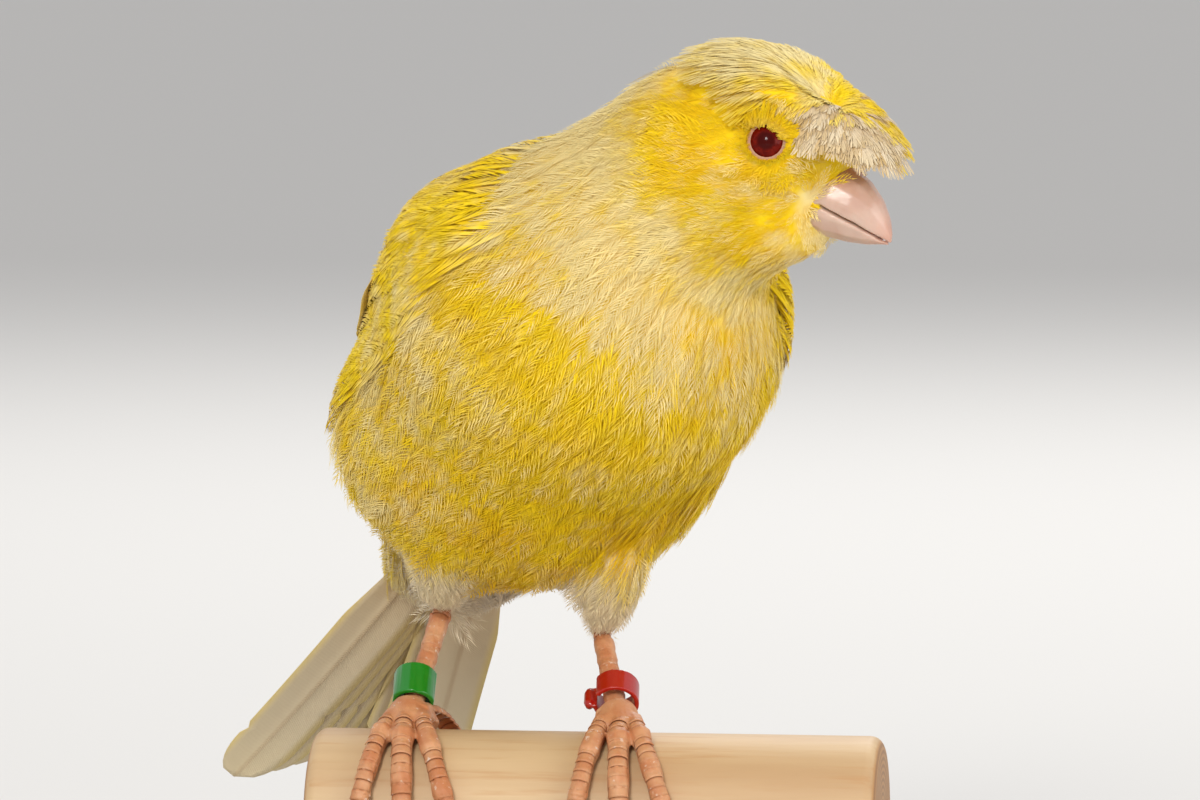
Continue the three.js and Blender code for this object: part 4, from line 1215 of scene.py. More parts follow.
# %% [markdown]
# Soft feathers cover the wing's front half and reach up over its lower edge from the flank. They
# follow guides as well, because scattered ones can't bridge the step from flank to wing. Each
# starts under the coat, comes up to the surface and points back, a little towards the back's line.
# %% Shoulders and both wings
SHOULDER_FEATHERS = variants(
    "shoulder_feather", soft_feather, barbs=14, half=1.0, width=0.03, droop=0.0, camber=0.12
)
SHOULDER_HALF = 1.7
SHOULDER_LENGTH = 7.5
SHOULDER_POINTS = 7
FRONT, REAR, ROW_STEP = 25, -12, -1.6
TOP_ANGLE, LOW_ANGLE, ANGLE_STEP = 6, 114, 4.6


def shoulder_guides(sign):
    lines = []
    for x in np.arange(FRONT, REAR, ROW_STEP):
        for angle in np.arange(TOP_ANGLE, LOW_ANGLE, ANGLE_STEP):
            wanted = angle > 84 + 6 * rng.random() or x > 4 + 5 * rng.random()
            if not wanted or angle > 88 + 1.1 * (x - REAR):
                continue
            root = np.array([x, angle]) + rng.uniform(-1, 1, 2) * (0.8, 2)
            tip = root + (-SHOULDER_LENGTH, -3 if angle < 76 else -9)
            lift = 0.1 + 0.3 * rng.random()
            deep = 0.9 + 0.25 * max(0, x - 15)
            points, facing = laid_points(sign, root, tip, lift, SHOULDER_POINTS, deep, 0.6)
            if len(points) < SHOULDER_POINTS:
                continue
            frosted = 0.46 + 0.12 * rng.random() + 0.12 * (angle < 60)
            where = (0.2 + 0.006 * angle, 0.3 + 0.02 * (x + 8))
            lines.append(guide_line(points, facing, SHOULDER_HALF, frosted, 0.25, where))
    return lines


for side, sign in SIDES.items():
    wing = grown_along(f"wing_feathers_{side}", wing_guides(sign), WING_VANES, WING_COAT, 5, smooth=True)
    finish_piece(wing, f"wing_{side}")
    finish_piece(grown_along(f"shoulder_{side}", shoulder_guides(sign), SHOULDER_FEATHERS, COAT, 7))
bpy.data.objects.remove(bpy.data.objects["flank_probe"])

# %% [markdown]
# The crest's feathers part at one point above the eyes and fall to all sides: short over the
# bill, longer over the eyes, longest at the back. They are narrow and soft, so each one is a
# bundle of barbs, and five tiers of them overlap from the rim up to the middle. A cap with grooves
# would be lighter, but its rim would be one hard line.
# %% Crest
CREST_BLADE = dict(barbs=17, half=1.0, width=0.032, steps=2, droop=0.0, camber=0.15, wild=0.06)
CREST_FEATHERS = variants("crest_feather", soft_feather, **CREST_BLADE)
CREST_TIERS = [
    dict(count=92, start=0.36, stop=1.03, lift=-0.7, half=0.8),
    dict(count=88, start=0.26, stop=0.99, lift=-0.3, half=0.8),
    dict(count=76, start=0.16, stop=0.86, lift=0.0, half=0.8),
    dict(count=60, start=0.06, stop=0.68, lift=0.2, half=0.75),
    dict(count=44, start=0.0, stop=0.45, lift=0.3, half=0.7),
]


def crest_guide(angle, start, stop, lift, half):
    """One feather from the parting to the rim, beige on the front roll, most on the bird's right."""
    cosine, sine = math.cos(angle), math.sin(angle)
    reach = round_crest(cosine, 9.4, 8.3, 16.8)
    rim = round_crest(cosine, 3.9, 5.0, 7.8)
    swell = CREST_TOP + round_crest(cosine, 1.4, 2.9, 5.7)

    def line(t):
        s = lerp(start, stop, t)
        rise = CREST_TOP * (1 - s) ** 2 + 2 * swell * s * (1 - s) + rim * s * s
        sunk = 0.9 * (1 - t) ** 3
        return CREST_FORWARD + cosine * reach * s, sine * reach * s, rise + lift - sunk

    up = toward(HEAD, (0.2 * cosine, 0.2 * sine, 1))
    width = half * round_crest(cosine, 1.3, 1.3, 1.7)
    where = (0.5 + 0.4 * cosine * stop, 0.5 + 0.4 * sine * stop)
    on_roll = from_to(cosine, -0.3, 0.1) * from_to(stop, 0.3, 0.85)
    on_roll *= 0.4 + 0.6 * from_to(-sine, -0.3, 0.2)
    frosted = 1.3 if rng.random() < on_roll else 0.44 + 0.26 * from_to(-cosine, 0.4, 0.95)
    frosted += 0.12 * rng.random()
    return straight_guide(HEAD, line, up, width, frosted, 0.2, where)


crest_lines = []
for number, tier in enumerate(CREST_TIERS):
    for i in range(tier["count"]):
        angle = 2 * math.pi * (i + 0.37 * number + 0.8 * rng.random()) / tier["count"]
        stop = tier["stop"] - 0.14 * rng.random()
        lift = tier["lift"] + 0.25 * rng.random()
        crest_lines.append(crest_guide(angle, tier["start"], stop, lift, tier["half"]))
finish_piece(grown_along("crest", crest_lines, CREST_FEATHERS, COAT, 6))

# %% [markdown]
# A bird's eye is a ball deep in the skin with only a small disc in sight. It is nearly all iris,
# red-brown here, round a wide dark pupil, under a clear wet cornea. A cornea of its own would
# need more light paths for the same look: a clear coat on a smooth ball gives the one sharp
# highlight. How far a point of the ball is from the pupil is kept on its points.
# %% Eyes
EYE_FACING = {side: toward(HEAD, GAZE[side]) for side in SIDES}
EYE_RADIUS = 2.1 * MM


def from_bmesh(name, made):
    bmesh.ops.recalc_face_normals(made, faces=made.faces)
    mesh = bpy.data.meshes.new(name)
    made.to_mesh(mesh)
    made.free()
    mesh.shade_smooth()
    return mesh


def eye_finish():
    material, tree, shader = new_finish("wet_eye", 0.25, Coat_Weight=0.16, Coat_Roughness=0.02)
    shader.inputs["Specular IOR Level"].default_value = 0.02
    fibres = noise(tree, object_place(tree), 2600, 3, 0.6)
    iris = mixed(tree, stretched(tree, fibres, 0.35, 0.65), linear("560802"), linear("6E1204"))
    pupil = stretched(tree, trait(tree, "gaze"), 0.86, 0.95)
    coloured(tree, shader, mixed(tree, pupil, iris, linear("3E0502")))
    return material


EYE_FINISH = eye_finish()
for side in SIDES:
    ball = bmesh.new()
    bmesh.ops.create_uvsphere(ball, u_segments=48, v_segments=32, radius=EYE_RADIUS)
    bmesh.ops.translate(ball, verts=ball.verts, vec=EYE_CENTRE[side])
    mesh = from_bmesh(f"eyeball_{side}", ball)
    store(mesh, "gaze", unit(vertex_array(mesh) - np.array(EYE_CENTRE[side])) @ EYE_FACING[side])
    mesh.materials.append(EYE_FINISH)
    finish_piece(show(f"eyeball_{side}", mesh), f"eye_{side}", slot="eye")
print("eyes at", [[round(c / MM, 1) for c in EYE_CENTRE[side]] for side in SIDES])

# %% [markdown]
# The lids are a naked, finely wrinkled ring of pinkish skin that hides the edge of the hole in
# the coat. A plain ring would be too even, so the tube's thickness ripples as it goes round. Its
# outer edge is yellow, where the smallest feathers begin.
# %% Lids
LID_RADIUS = 1.7
LID_TUBE = 0.33
LID_FLATTENED = 0.45
LID_RIPPLE = 0.05
LID_HEIGHT = 1.27


def ring_mesh(name, centre, facing, radius, tube, around=120, section=14):
    turn = Vector(facing).to_track_quat("Z", "Y")
    made = bmesh.new()
    rings = []
    for i in range(around):
        a = 2 * math.pi * i / around
        thick = tube * (1 + LID_RIPPLE * math.sin(31 * a) + 0.5 * LID_RIPPLE * math.sin(17 * a + 1))
        ring = []
        for k in range(section):
            b = 2 * math.pi * k / section
            r = radius + thick * math.cos(b)
            spot = Vector((r * math.cos(a), r * math.sin(a), LID_FLATTENED * thick * math.sin(b))) * MM
            ring.append(made.verts.new(Vector(centre) + turn @ spot))
        rings.append(ring)
    for i in range(around):
        after = rings[(i + 1) % around]
        for k in range(section):
            j = (k + 1) % section
            made.faces.new((rings[i][k], after[k], after[j], rings[i][j]))
    return from_bmesh(name, made)


def lid_finish():
    material, tree, shader = new_finish("lid_skin", 0.5)
    glowing_through(shader, 0.15, 0.0006, 0.0003, 0.0002)
    place = object_place(tree)
    colour = mixed(tree, noise(tree, place, 900, 3), linear("A36E4E"), linear("C08C68"))
    coloured(tree, shader, mixed(tree, trait(tree, "outer"), colour, linear("C99A24")))
    raised(tree, shader, noise(tree, place, 3200, 3), 0.00008, 0.6)
    return material


LID_FINISH = lid_finish()
for side in SIDES:
    centre = EYE_CENTRE[side] + Vector(EYE_FACING[side]) * LID_HEIGHT * MM
    mesh = ring_mesh(f"lids_{side}", centre, EYE_FACING[side], LID_RADIUS, LID_TUBE)
    spots = vertex_array(mesh) - np.array(EYE_CENTRE[side])
    off_gaze = length_of(np.cross(spots, EYE_FACING[side])) / MM
    store(mesh, "outer", from_to(off_gaze, 1.76, 1.95))
    mesh.materials.append(LID_FINISH)
    lids = finish_piece(show(f"lids_{side}", mesh), slot="leg_skin")
    print(lids.name, faces_of(lids), "triangles")

# %% [markdown]
# Short bristly feathers close the line between face and bill: they grow from the face and lean
# forward over the horn. Others hang over the eye's upper lid as a brow, and the smallest stand
# round the lids' outer edge. All need exact places, so they follow guides too.
# %% Bristles
BRISTLE_FEATHERS = variants("bristle", soft_feather, barbs=8, half=0.9, width=0.06, swing=0.5, droop=0.0)
BRISTLES = 52
BRISTLE_POINTS = 6
GAPE_WIDTH = 3.6


def bristle_guide(a, sign):
    """A bristle at an angle from the forehead's middle, down one side of the bill."""
    length = 1.1 + 1.2 * rng.random()
    outward = np.array([0, sign * math.sin(a), math.cos(a)])
    root = np.array([9.2 + 0.9 * rng.random(), 0, -1.5]) + GAPE_WIDTH * outward
    heading = np.array([0.9, 0, -0.35]) + 0.22 * outward + 0.12 * rng.normal(size=3)

    def line(t):
        return root + length * (heading * t - 0.35 * outward * t * t)

    facing = toward(HEAD, outward + (0.3, 0, 0))
    frosted, golden = (0.2, 1.3) if a < 1 else (0.45, 0.3)
    where = (a / 4, 0.5 + 0.3 * sign)
    return straight_guide(HEAD, line, facing, 0.42, frosted, golden, where, BRISTLE_POINTS)


bristle_lines = []
for sign in (-1, 1):
    for a in np.linspace(0.3, 1.7, BRISTLES):
        bristle_lines.append(bristle_guide(a + 0.04 * rng.random(), sign))
print("bristles", len(bristle_lines))

# %% [markdown]
# The brow and the lids' tiny feathers are placed round the eye: at an angle from its top and at a
# distance from its middle. The nearest skin gives their other end. Bending them up between the
# two ends keeps them off the lids.
# %% Brows and lids' feathers
BROW_FEATHERS = 190
LID_FEATHERS = 170


def round_the_eye(side, a):
    """An eye's centre and gaze in the head's frame, the way out at an angle from its top, and sideways."""
    gaze = Vector(GAZE[side]).normalized()
    above = (Vector((0, 0, 1)) - gaze * gaze.z).normalized()
    aside = gaze.cross(above)
    eye = HEAD.inverted() @ EYE_CENTRE[side] / MM
    return eye, gaze, above * math.cos(a) + aside * math.sin(a), aside


def nearest_skin(spot):
    """The skin's point nearest to a spot of the head's frame, in that frame."""
    return HEAD.inverted() @ skin_tree.find_nearest(HEAD @ (spot * MM))[0] / MM


def bent_guide(root, tip, gaze, bend, half, frost, gold, where):
    """A tiny feather from root to tip, bent up towards the way that the eye looks."""
    def line(t):
        return root.lerp(tip, t) + gaze * float(bend * t * (1 - t))

    return straight_guide(HEAD, line, toward(HEAD, gaze), half, frost, gold, where, BRISTLE_POINTS)


def brow_guide(side, a):
    """A feather that grows above the eye and ends over its upper edge."""
    eye, gaze, outward, aside = round_the_eye(side, a)
    high, low = 2.4 + 2.4 * rng.random(), 1.08 + 0.7 * rng.random() + 0.22 * a * a
    root = nearest_skin(eye + outward * high + gaze * 1.5) - gaze * 0.2
    tip = eye + outward * low + gaze * 2.0 + aside * float(0.3 + 0.25 * rng.normal())
    golden = 0.2 + 0.5 * rng.random()
    return bent_guide(root, tip, gaze, 1.9, 0.15, 0.3, golden, (0.3 + 0.1 * a, 0.6))


def lid_feather_guide(side, a):
    """A tiny feather that grows on the lids' outer edge and leans away from the eye."""
    eye, gaze, outward, aside = round_the_eye(side, a)
    root = eye + outward * float(LID_RADIUS - 0.04 + 0.26 * rng.random()) + gaze * (LID_HEIGHT + 0.2)
    lean = aside * float(0.25 * rng.normal())
    far = eye + outward * float(2.7 + 0.5 * rng.random()) + gaze * 1.5 + lean
    tip = nearest_skin(far) + gaze * 0.5
    return bent_guide(root, tip, gaze, 1.5, 0.2, 0.34, 0.3, (0.3 + 0.05 * a, 0.7))


for side in SIDES:
    for a in np.linspace(-1.25, 1.25, BROW_FEATHERS):
        bristle_lines.append(brow_guide(side, a + 0.05 * rng.normal()))
for side in SIDES:
    for a in np.linspace(0, 2 * math.pi, LID_FEATHERS):
        bristle_lines.append(lid_feather_guide(side, a + 0.03 * rng.normal()))
finish_piece(grown_along("bristles", bristle_lines, BRISTLE_FEATHERS, COAT, 8))

# %% [markdown]
# The bill is horn: translucent, pale pink, warmer along the ridge where blood shows through. Its
# two halves could be lofted from sections, but the solids already have the mouth line and the
# nostrils in place, so finer copies of them are smoothed. How high and how far forward a point is
# on the head is kept on the mesh, for the colours.
# %% Bill
def bill_finish():
    material, tree, shader = new_finish("horn", 0.34, Coat_Weight=0.3, Coat_Roughness=0.22)
    glowing_through(shader, 0.25, 0.0012, 0.0006, 0.0004)
    place = object_place(tree)
    ridge, reach = trait(tree, "ridge"), trait(tree, "reach")
    cloud = stretched(tree, noise(tree, place, 320, 3), 0.35, 0.7)
    colour = mixed(tree, cloud, linear("CBAE9D"), linear("BF9A88"))
    warm = maths(tree, "MULTIPLY", stretched(tree, ridge, -0.6, 2.0), stretched(tree, reach, 17.5, 9.0))
    colour = mixed(tree, part_of(tree, warm, 0.75), colour, linear("C47A52"))
    blush = part_of(tree, stretched(tree, reach, 15.5, 18.2), 0.35)
    colour = mixed(tree, blush, colour, linear("CF9079"))
    coloured(tree, shader, colour)
    grain = noise(tree, object_place(tree, scale=(1, 1, 0.35)), 1500, 3)
    raised(tree, shader, grain, 0.00004, 0.35)
    return material


BILL_FINISH = bill_finish()
for half in ("upper", "lower"):
    piece = smooth_copy(f"bill_{half}_horn", [f"bill_{half}"], 0.13 * MM, 14, grown=0.03 * MM)
    spots = local(HEAD, vertex_array(piece.data))
    store(piece.data, "ridge", spots[:, 2])
    store(piece.data, "reach", spots[:, 0])
    piece.data.materials.append(BILL_FINISH)
    finish_piece(piece, f"bill_{half}", slot="bill")
    print(piece.name, faces_of(piece), "triangles")

# %% [markdown]
# Legs and toes are bare skin under horny plates. Relief in the finish would leave their outline
# smooth, and a real shank's outline is stepped. The plates follow rules: a row of saddles down the
# front of the shank and along the top of each toe. So they are solids, put along guides by a
# second tree, which spaces them evenly.
# %% Tree: plates along guides
plate_inputs = [
    ("Plate", "NodeSocketObject", None),
    ("Spacing", "NodeSocketFloat", 0.0009),
    ("Finish", "NodeSocketMaterial", None),
]
tree, start, end = new_tree("plates along guides", plate_inputs)
curves = out(put(tree, "GeometryNodeMeshToCurve", {"Mesh": out(start, "Geometry")}))
inputs = {"Curve": curves, "Length": out(start, "Spacing")}
even = out(put(tree, "GeometryNodeResampleCurve", inputs, mode="LENGTH"))
heading = out(put(tree, "GeometryNodeInputTangent"))
traits = put(tree, "ShaderNodeSeparateXYZ", {0: named(tree, "traits", "FLOAT_VECTOR")})
width = maths(tree, "MULTIPLY", out(traits, "X"), chance(tree, 0.97, 1.05, 2))
scales = put(tree, "ShaderNodeCombineXYZ", {0: out(start, "Spacing"), 1: width, 2: width})
solid_plate = put(tree, "GeometryNodeObjectInfo", {"Object": out(start, "Plate")})
inputs = {
    "Points": even,
    "Instance": out(solid_plate, "Geometry"),
    "Rotation": laid_along(tree, named(tree, "facing", "FLOAT_VECTOR"), heading),
    "Scale": out(scales),
}
placed = out(put(tree, "GeometryNodeInstanceOnPoints", inputs))
end_tree(tree, placed, out(start, "Finish"), end)
PLATE_TREE = tree

# %% [markdown]
# One plate is a thin shell that is bent like a saddle over shank or toe. Its far edge is lifted
# a little, so that it overlaps the next one as tiles do, and its rim is marked for the finish,
# because dirt and shade gather there. The plate has unit size, and the tree scales it.
# %% One plate
def saddle(name, sweep=75, rows=4, columns=10, thick=0.1):
    """A closed plate bent round the x axis: 1 long with some overlap, at radius 1, open below."""
    verts, faces, rim = [], [], []
    for r in range(rows + 1):
        x = lerp(-0.6, 0.62, r / rows)
        lifted = 1.0 + 0.13 * (r / rows) ** 2
        for c in range(columns + 1):
            share = 2 * c / columns - 1
            a = math.radians(sweep) * share * (1 - 0.08 * (r / rows))
            edge = 1 - 0.5 * abs(share) ** 3 - (0.5 if r in (0, rows) else 0)
            for radius in (lifted + thick * edge * 0.5, lifted - thick * 0.6):
                verts.append((x, radius * math.sin(a), radius * math.cos(a)))
            rim.extend([r / rows, r / rows])

    def index(r, c, under):
        return 2 * (r * (columns + 1) + c) + under

    for r in range(rows):
        for c in range(columns):
            faces.append((index(r, c, 0), index(r + 1, c, 0), index(r + 1, c + 1, 0), index(r, c + 1, 0)))
            faces.append((index(r, c, 1), index(r, c + 1, 1), index(r + 1, c + 1, 1), index(r + 1, c, 1)))
        for c in (0, columns):
            faces.append((index(r, c, 0), index(r, c, 1), index(r + 1, c, 1), index(r + 1, c, 0)))
    for c in range(columns):
        for r in (0, rows):
            faces.append((index(r, c, 0), index(r, c, 1), index(r, c + 1, 1), index(r, c + 1, 0)))
    mesh = bpy.data.meshes.new(f"{name}_loose")
    mesh.from_pydata(verts, [], faces)
    made = bmesh.new()
    made.from_mesh(mesh)
    done = from_bmesh(name, made)
    store(done, "rim", rim)
    return bpy.data.objects.new(name, done)


SADDLE = saddle("saddle_plate")
print("faces in one plate", len(SADDLE.data.polygons))

# %% [markdown]
# Bare skin and plates share a finish: salmon pink with pale flakes of old horn, which real legs
# always shed. On the plates the rims are darker and the flakes lie on the middle.
# %% Finish of legs
def skin_finish(name, plated):
    material, tree, shader = new_finish(name, 0.5)
    glowing_through(shader, 0.12, 0.0008, 0.0004, 0.0002)
    place = object_place(tree)
    cloud = noise(tree, place, 420, 3)
    colour = mixed(tree, stretched(tree, cloud, 0.3, 0.7), linear("BC774B"), linear("CF976C"))
    flakes = stretched(tree, noise(tree, place, 1300, 4, 0.65), 0.60, 0.70)
    if plated:
        rim = trait(tree, "rim")
        colour = mixed(tree, stretched(tree, rim, 0.35, 0.0, 0.0, 0.5), colour, linear("8E4F30"))
        flakes = maths(tree, "MULTIPLY", flakes, stretched(tree, rim, 0.3, 0.9, 0.25, 1.0))
    colour = mixed(tree, part_of(tree, flakes, 0.7), colour, linear("E0CDBA"))
    coloured(tree, shader, colour)
    raised(tree, shader, noise(tree, place, 2400, 4, 0.6), 0.00012, 0.7)
    return material


LEG_SKIN = skin_finish("leg_skin_bare", False)
LEG_PLATE = skin_finish("leg_plate", True)
print("finishes", LEG_SKIN.name, LEG_PLATE.name)

# %% [markdown]
# Three toes lie over the perch's front and the hind toe goes under it from behind, so a toe's
# guide is an arc about the perch's axis that drifts a little along it. The shank's guide is a
# straight line from heel to foot. Under the plates shank and foot are one smooth skin.
# %% Legs and their plates
TOES = {
    "inner": dict(start=1.0, lean=2.4, first=6, last=84, radius=0.95),
    "middle": dict(start=-0.2, lean=0.0, first=6, last=100, radius=1.05),
    "outer": dict(start=-1.1, lean=-2.6, first=6, last=86, radius=0.95),
    "hind": dict(start=1.0, lean=2.2, first=4, last=-76, radius=1.15),
}
TOE_SWING = 0.9
TOE_POINTS = 14
SHANK_POINTS = 10
SHANK_HALF = 0.88
PERCH_RADIUS = 8.7
TOE_GAP = 0.3
FEET = {"right": (-19.3, 0.4, 9.8), "left": (2.1, 0.2, 9.8)}


def toe_guide(side, toe):
    points, facing = [], []
    for t in np.linspace(0.12, 0.97, TOE_POINTS):
        a = math.radians(lerp(toe["first"], toe["last"], t))
        aside = SIDES[side] * (toe["start"] + toe["lean"] * abs(a))
        x = FEET[side][0] - aside + TOE_SWING * abs(a)
        r = PERCH_RADIUS + TOE_GAP + toe["radius"] * (1 - 0.1 * t)
        points.append(at(PERCH, x, -r * math.sin(a), r * math.cos(a)))
        facing.append(toward(PERCH, (0, -math.sin(a), math.cos(a))))
    return guide_line(points, facing, toe["radius"] * 0.93)


def shank_guide(side):
    heel, foot = HEELS[side], at(PERCH, *FEET[side])
    points = [heel.lerp(foot, t) for t in np.linspace(0.1, 0.9, SHANK_POINTS)]
    down = (foot - heel).normalized()
    front = Vector((0, -1, 0))
    front = (front - down * front.dot(down)).normalized()
    return guide_line(points, [front] * SHANK_POINTS, SHANK_HALF)


for side in SIDES:
    leg = smooth_copy(f"leg_{side}", [f"shank_{side}", f"foot_{side}"], 0.15 * MM, 8, grown=0.16 * MM)
    leg.data.materials.append(LEG_SKIN)
    finish_piece(leg, f"shank_{side}", f"foot_{side}", slot="leg_skin")
    lines = [toe_guide(side, toe) for toe in TOES.values()] + [shank_guide(side)]
    plates = guides(f"plates_{side}", lines)
    grown_by(PLATE_TREE, plates, Plate=SADDLE, Spacing=0.95 * MM, Finish=LEG_PLATE)
    finish_piece(plates, slot="leg_skin")
    print(leg.name, faces_of(leg), plates.name, faces_of(plates))

# %% [markdown]
# Claws are horn cones that curl round the perch. A cone swept along an arc would do, but the
# solids have that form and place already, so they are smoothed from the solids too.
# %% Claws
def claw_finish():
    material, tree, shader = new_finish("claw_horn", 0.3, Coat_Weight=0.3, Coat_Roughness=0.2)
    place = object_place(tree)
    colour = mixed(tree, noise(tree, place, 500, 2), linear("E0B397"), linear("F2DCCB"))
    coloured(tree, shader, colour)
    raised(tree, shader, noise(tree, place, 1800, 2), 0.00004, 0.4)
    return material


CLAW_FINISH = claw_finish()
for side in SIDES:
    for toe in TOES:
        claw = smooth_copy(f"horn_{side}_{toe}", [f"claw_{side}_{toe}"], 0.08 * MM, 4, grown=0.02 * MM)
        claw.data.materials.append(CLAW_FINISH)
        finish_piece(claw, f"claw_{side}_{toe}", slot="claw")
        print(claw.name, faces_of(claw), "triangles")

# %% [markdown]
# One leg wears a closed ring of lacquered metal, the other a split ring of soft plastic with a
# tab. Both are plain: fine scratches and worn patches are all they carry. Finer copies of the
# solids keep the split and the tab where the solids have them.
# %% Leg rings
def ring_finish(name, colour, worn, roughness):
    material, tree, shader = new_finish(name, roughness, Coat_Weight=0.5, Coat_Roughness=0.12)
    place = object_place(tree)
    rub = stretched(tree, noise(tree, place, 700, 4, 0.7), 0.55, 0.8)
    coloured(tree, shader, mixed(tree, part_of(tree, rub, 0.35), linear(colour), linear(worn)))
    scratch = noise(tree, object_place(tree, scale=(1, 1, 6)), 3000, 2)
    raised(tree, shader, scratch, 0.00003, 0.4)
    return material


RINGS = {
    "green": ring_finish("green_lacquer", "0A7A16", "2F9A35", 0.3),
    "red": ring_finish("red_plastic", "A81408", "C9402E", 0.28),
}
for colour, finish in RINGS.items():
    band = smooth_copy(f"leg_band_{colour}", [f"ring_{colour}"], 0.09 * MM, 3)
    band.data.materials.append(finish)
    finish_piece(band, f"ring_{colour}", slot=f"ring_{colour}")
    print(band.name, faces_of(band), "triangles")

# %% [markdown]
# The perch is a turned dowel of pale wood, cut off at both ends. Turning it from a profile with
# many sides keeps its outline round. The grain runs along it: noise stretched along its axis for
# the fibres, and rings about the axis for the end grain.
# %% Perch
PERCH_HALF = 57.4 / 2
PERCH_EDGE = 1.3
PERCH_SIDES = 128
END_RINGS = (0.6, 2.2, 3.8, 5.6)


def close_rings(made, rings):
    """A closed skin over rings of points, with a flat face on the first and on the last."""
    count = len(rings[0])
    for low, high in zip(rings, rings[1:]):
        for k in range(count):
            made.faces.new((low[k], low[(k + 1) % count], high[(k + 1) % count], high[k]))
    made.faces.new(rings[0])
    made.faces.new(rings[-1])


def turned(name, profile, place, sides=PERCH_SIDES):
    """A solid of revolution about x, from pairs of a place along the axis and a radius, in mm."""
    made = bmesh.new()
    rings = []
    for x, r in profile:
        rings.append([
            made.verts.new(at(place, x, r * math.cos(a), r * math.sin(a)))
            for a in np.linspace(0, 2 * math.pi, sides, endpoint=False)
        ])
    close_rings(made, rings)
    return from_bmesh(name, made)


def wood_finish():
    material, tree, shader = new_finish("pale_dowel", 0.55)
    centre, turn = tuple(PERCH_MIDDLE), (0, 0, -PERCH_YAW)
    fibres = noise(tree, object_place(tree, (14, 1, 1), turn, centre), 900, 4, 0.6)
    bands = noise(tree, object_place(tree, (9, 1, 1), turn, centre), 180, 3, 0.5)
    colour = mixed(tree, stretched(tree, bands, 0.3, 0.7), linear("CFB288"), linear("BE9B72"))
    streak = stretched(tree, fibres, 0.5, 0.75)
    colour = mixed(tree, part_of(tree, streak, 0.5), colour, linear("B98652"))
    end_grain = stretched(tree, trait(tree, "end"), 0.55, 0.95)
    rings = maths(tree, "SINE", part_of(tree, trait(tree, "radius"), 9.0))
    end_colour = mixed(tree, stretched(tree, rings, -1.0, 1.0), linear("B5834F"), linear("8F6138"))
    coloured(tree, shader, mixed(tree, part_of(tree, end_grain, 0.75), colour, end_colour))
    raised(tree, shader, fibres, 0.00012, 0.5)
    return material


right_end = [(PERCH_HALF, r) for r in END_RINGS]
for a in np.linspace(0, math.pi / 2, 7):
    x = PERCH_HALF - PERCH_EDGE + PERCH_EDGE * math.cos(a)
    right_end.append((x, PERCH_RADIUS - PERCH_EDGE + PERCH_EDGE * math.sin(a)))
left_end = [(-x, r) for x, r in right_end]
body_rings = [(x, PERCH_RADIUS) for x in np.linspace(-PERCH_HALF + 3, PERCH_HALF - 3, 12)]
dowel_mesh = turned("dowel", left_end + body_rings + right_end[::-1], PERCH)
spots = local(PERCH, vertex_array(dowel_mesh))
store(dowel_mesh, "end", from_to(np.abs(spots[:, 0]), PERCH_HALF - 0.9, PERCH_HALF - 0.05))
store(dowel_mesh, "radius", np.hypot(spots[:, 1], spots[:, 2]))
dowel_mesh.materials.append(wood_finish())
finish_piece(show("dowel", dowel_mesh), "perch", slot="perch_wood")

# %% [markdown]
# The stand holds the perch, as in a museum: a flat base of dark wood with two steel rods. It isn't
# in the photograph, and its plain finish keeps the eye on the bird. A beveled box would do for the
# base, but its corners need a larger radius than its edges, so rings of points are stacked.
# %% Stand
BASE_CORNER = 9
BASE_EDGE = 0.8
EDGE_STEPS = 5
ARC_POINTS = 10
ROD_SIDES = 64


def board_mesh(name, low, high):
    """A flat board with round corners and softly rounded edges."""
    made = bmesh.new()
    rings = []
    lower, upper = [], []
    for a in np.linspace(0, math.pi / 2, EDGE_STEPS):
        inset, rise = BASE_EDGE * (1 - math.sin(a)), BASE_EDGE * (1 - math.cos(a))
        lower.append((inset, low.z / MM + rise))
        upper.append((inset, high.z / MM - rise))
    for inset, z in lower + upper[::-1]:
        ring = []
        for k, (sx, sy) in enumerate(((1, 1), (-1, 1), (-1, -1), (1, -1))):
            cx = (high.x if sx > 0 else low.x) / MM - sx * BASE_CORNER
            cy = (high.y if sy > 0 else low.y) / MM - sy * BASE_CORNER
            for a in np.radians(np.linspace(90 * k, 90 * k + 90, ARC_POINTS)):
                r = BASE_CORNER - inset
                ring.append(made.verts.new(Vector((cx + r * math.cos(a), cy + r * math.sin(a), z)) * MM))
        rings.append(ring)
    close_rings(made, rings)
    return from_bmesh(name, made)


def base_finish():
    material, tree, shader = new_finish("dark_wood", 0.38, Coat_Weight=0.4, Coat_Roughness=0.25)
    grain = noise(tree, object_place(tree, (10, 1, 1)), 420, 5, 0.6)
    bands = noise(tree, object_place(tree, (7, 1, 1)), 90, 3, 0.5)
    colour = mixed(tree, stretched(tree, bands, 0.3, 0.7), linear("4E3424"), linear("6B4A34"))
    coloured(tree, shader, mixed(tree, stretched(tree, grain, 0.5, 0.8, 0.0, 0.6), colour, linear("2C1B12")))
    raised(tree, shader, grain, 0.00008, 0.4)
    return material


def steel_finish():
    material, tree, shader = new_finish("brushed_steel", 0.28, Metallic=1.0)
    brushed = noise(tree, object_place(tree, (1, 1, 0.08)), 2500, 3)
    coloured(tree, shader, mixed(tree, brushed, linear("A9ABAE"), linear("C9CBCE")))
    raised(tree, shader, brushed, 0.00002, 0.4)
    return material


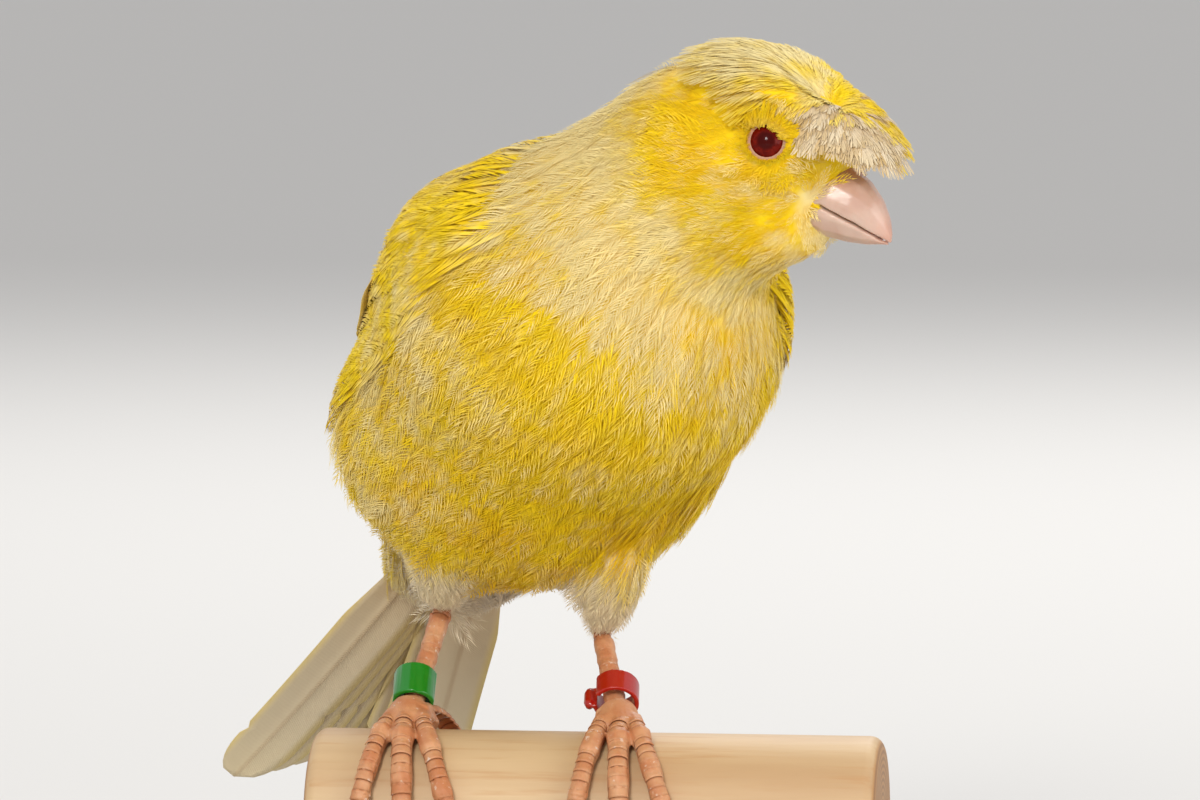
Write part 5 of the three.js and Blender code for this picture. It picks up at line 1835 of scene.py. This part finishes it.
base_low, base_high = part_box("stand_base")
base_mesh = board_mesh("stand_base_board", base_low, base_high)
base_mesh.materials.append(base_finish())
finish_piece(show("stand_base_board", base_mesh), "stand_base", slot="base_wood")
steel = steel_finish()
for side in SIDES:
    rod_low, rod_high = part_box(f"stand_rod_{side}")
    middle = (rod_low + rod_high) / 2
    upright_place = Matrix.Translation(middle) @ Matrix.Rotation(math.radians(-90), 4, "Y")
    half = (rod_high.z - rod_low.z) / 2 / MM
    radius = (rod_high.x - rod_low.x) / 2 / MM
    rod_mesh = turned(f"stand_pin_{side}", [(-half, radius), (half, radius)], upright_place, ROD_SIDES)
    rod_mesh.materials.append(steel)
    finish_piece(show(f"stand_pin_{side}", rod_mesh), f"stand_rod_{side}", slot="rod_steel")
print("stand base", [round(c / MM, 1) for c in base_high - base_low])

# %% [markdown]
# The photograph looks along +Y at the breast, a little from above, with a long lens. The camera
# keeps that view: 240 mm on a 36 mm sensor, 0.8 m away, which shows 0.1 mm as one pixel of the
# photograph's width. Three soft lights stand round the bird over a pale floor. They are round,
# because the eye mirrors their shape. Hard lamps would burn out the pale tips of the coat.
# %% Camera, floor and light
AIM = PERCH_MIDDLE + Vector((0.2, 0, 42.1)) * MM
CAMERA_RISE = math.radians(4)
CAMERA_DISTANCE = 0.8
LENS = 240
SENSOR = 36
PHOTO_WIDTH = 1200
FLOOR_SIZE = 24

camera = bpy.data.objects.new("camera", bpy.data.cameras.new("camera"))
camera.data.lens = LENS
camera.data.sensor_width = SENSOR
camera.location = AIM + CAMERA_DISTANCE * Vector((0, -math.cos(CAMERA_RISE), math.sin(CAMERA_RISE)))
camera.rotation_euler = (math.pi / 2 - CAMERA_RISE, 0, 0)
bpy.context.scene.collection.objects.link(camera)
bpy.context.scene.camera = camera

bpy.ops.mesh.primitive_plane_add(size=FLOOR_SIZE)
floor = bpy.context.object
floor.name = "floor"
floor.data.materials.append(new_finish("pale_floor", 0.8, Base_Color=linear("D9D7D3"))[0])


def soft_light(name, place, size, power, colour=(1, 1, 1)):
    """A round lamp, placed from the point that the camera aims at, and turned to it."""
    light = bpy.data.objects.new(name, bpy.data.lights.new(name, "AREA"))
    light.data.shape = "DISK"
    light.data.size = size
    light.data.energy = power
    light.data.color = colour
    light.location = AIM + Vector(place)
    light.rotation_euler = (-Vector(place)).to_track_quat("-Z", "Y").to_euler()
    bpy.context.scene.collection.objects.link(light)


soft_light("key", (-0.16, -0.85, 0.36), 0.2, 4.6, (1, 0.98, 0.95))
soft_light("fill", (0.7, -0.55, 0.1), 0.6, 2.6, (1, 0.99, 0.97))
soft_light("rim", (0.15, 0.8, 0.7), 0.5, 5)
world = bpy.data.worlds.new("studio")
world.use_nodes = True
sky = world.node_tree.nodes["Background"]
sky.inputs["Color"].default_value = linear("E6E6E8")
sky.inputs["Strength"].default_value = 0.82
bpy.context.scene.world = world
bpy.context.scene.view_settings.view_transform = "Standard"
pixel = CAMERA_DISTANCE / LENS * SENSOR / PHOTO_WIDTH / MM
print("one pixel of the photograph shows", round(pixel, 3), "mm")
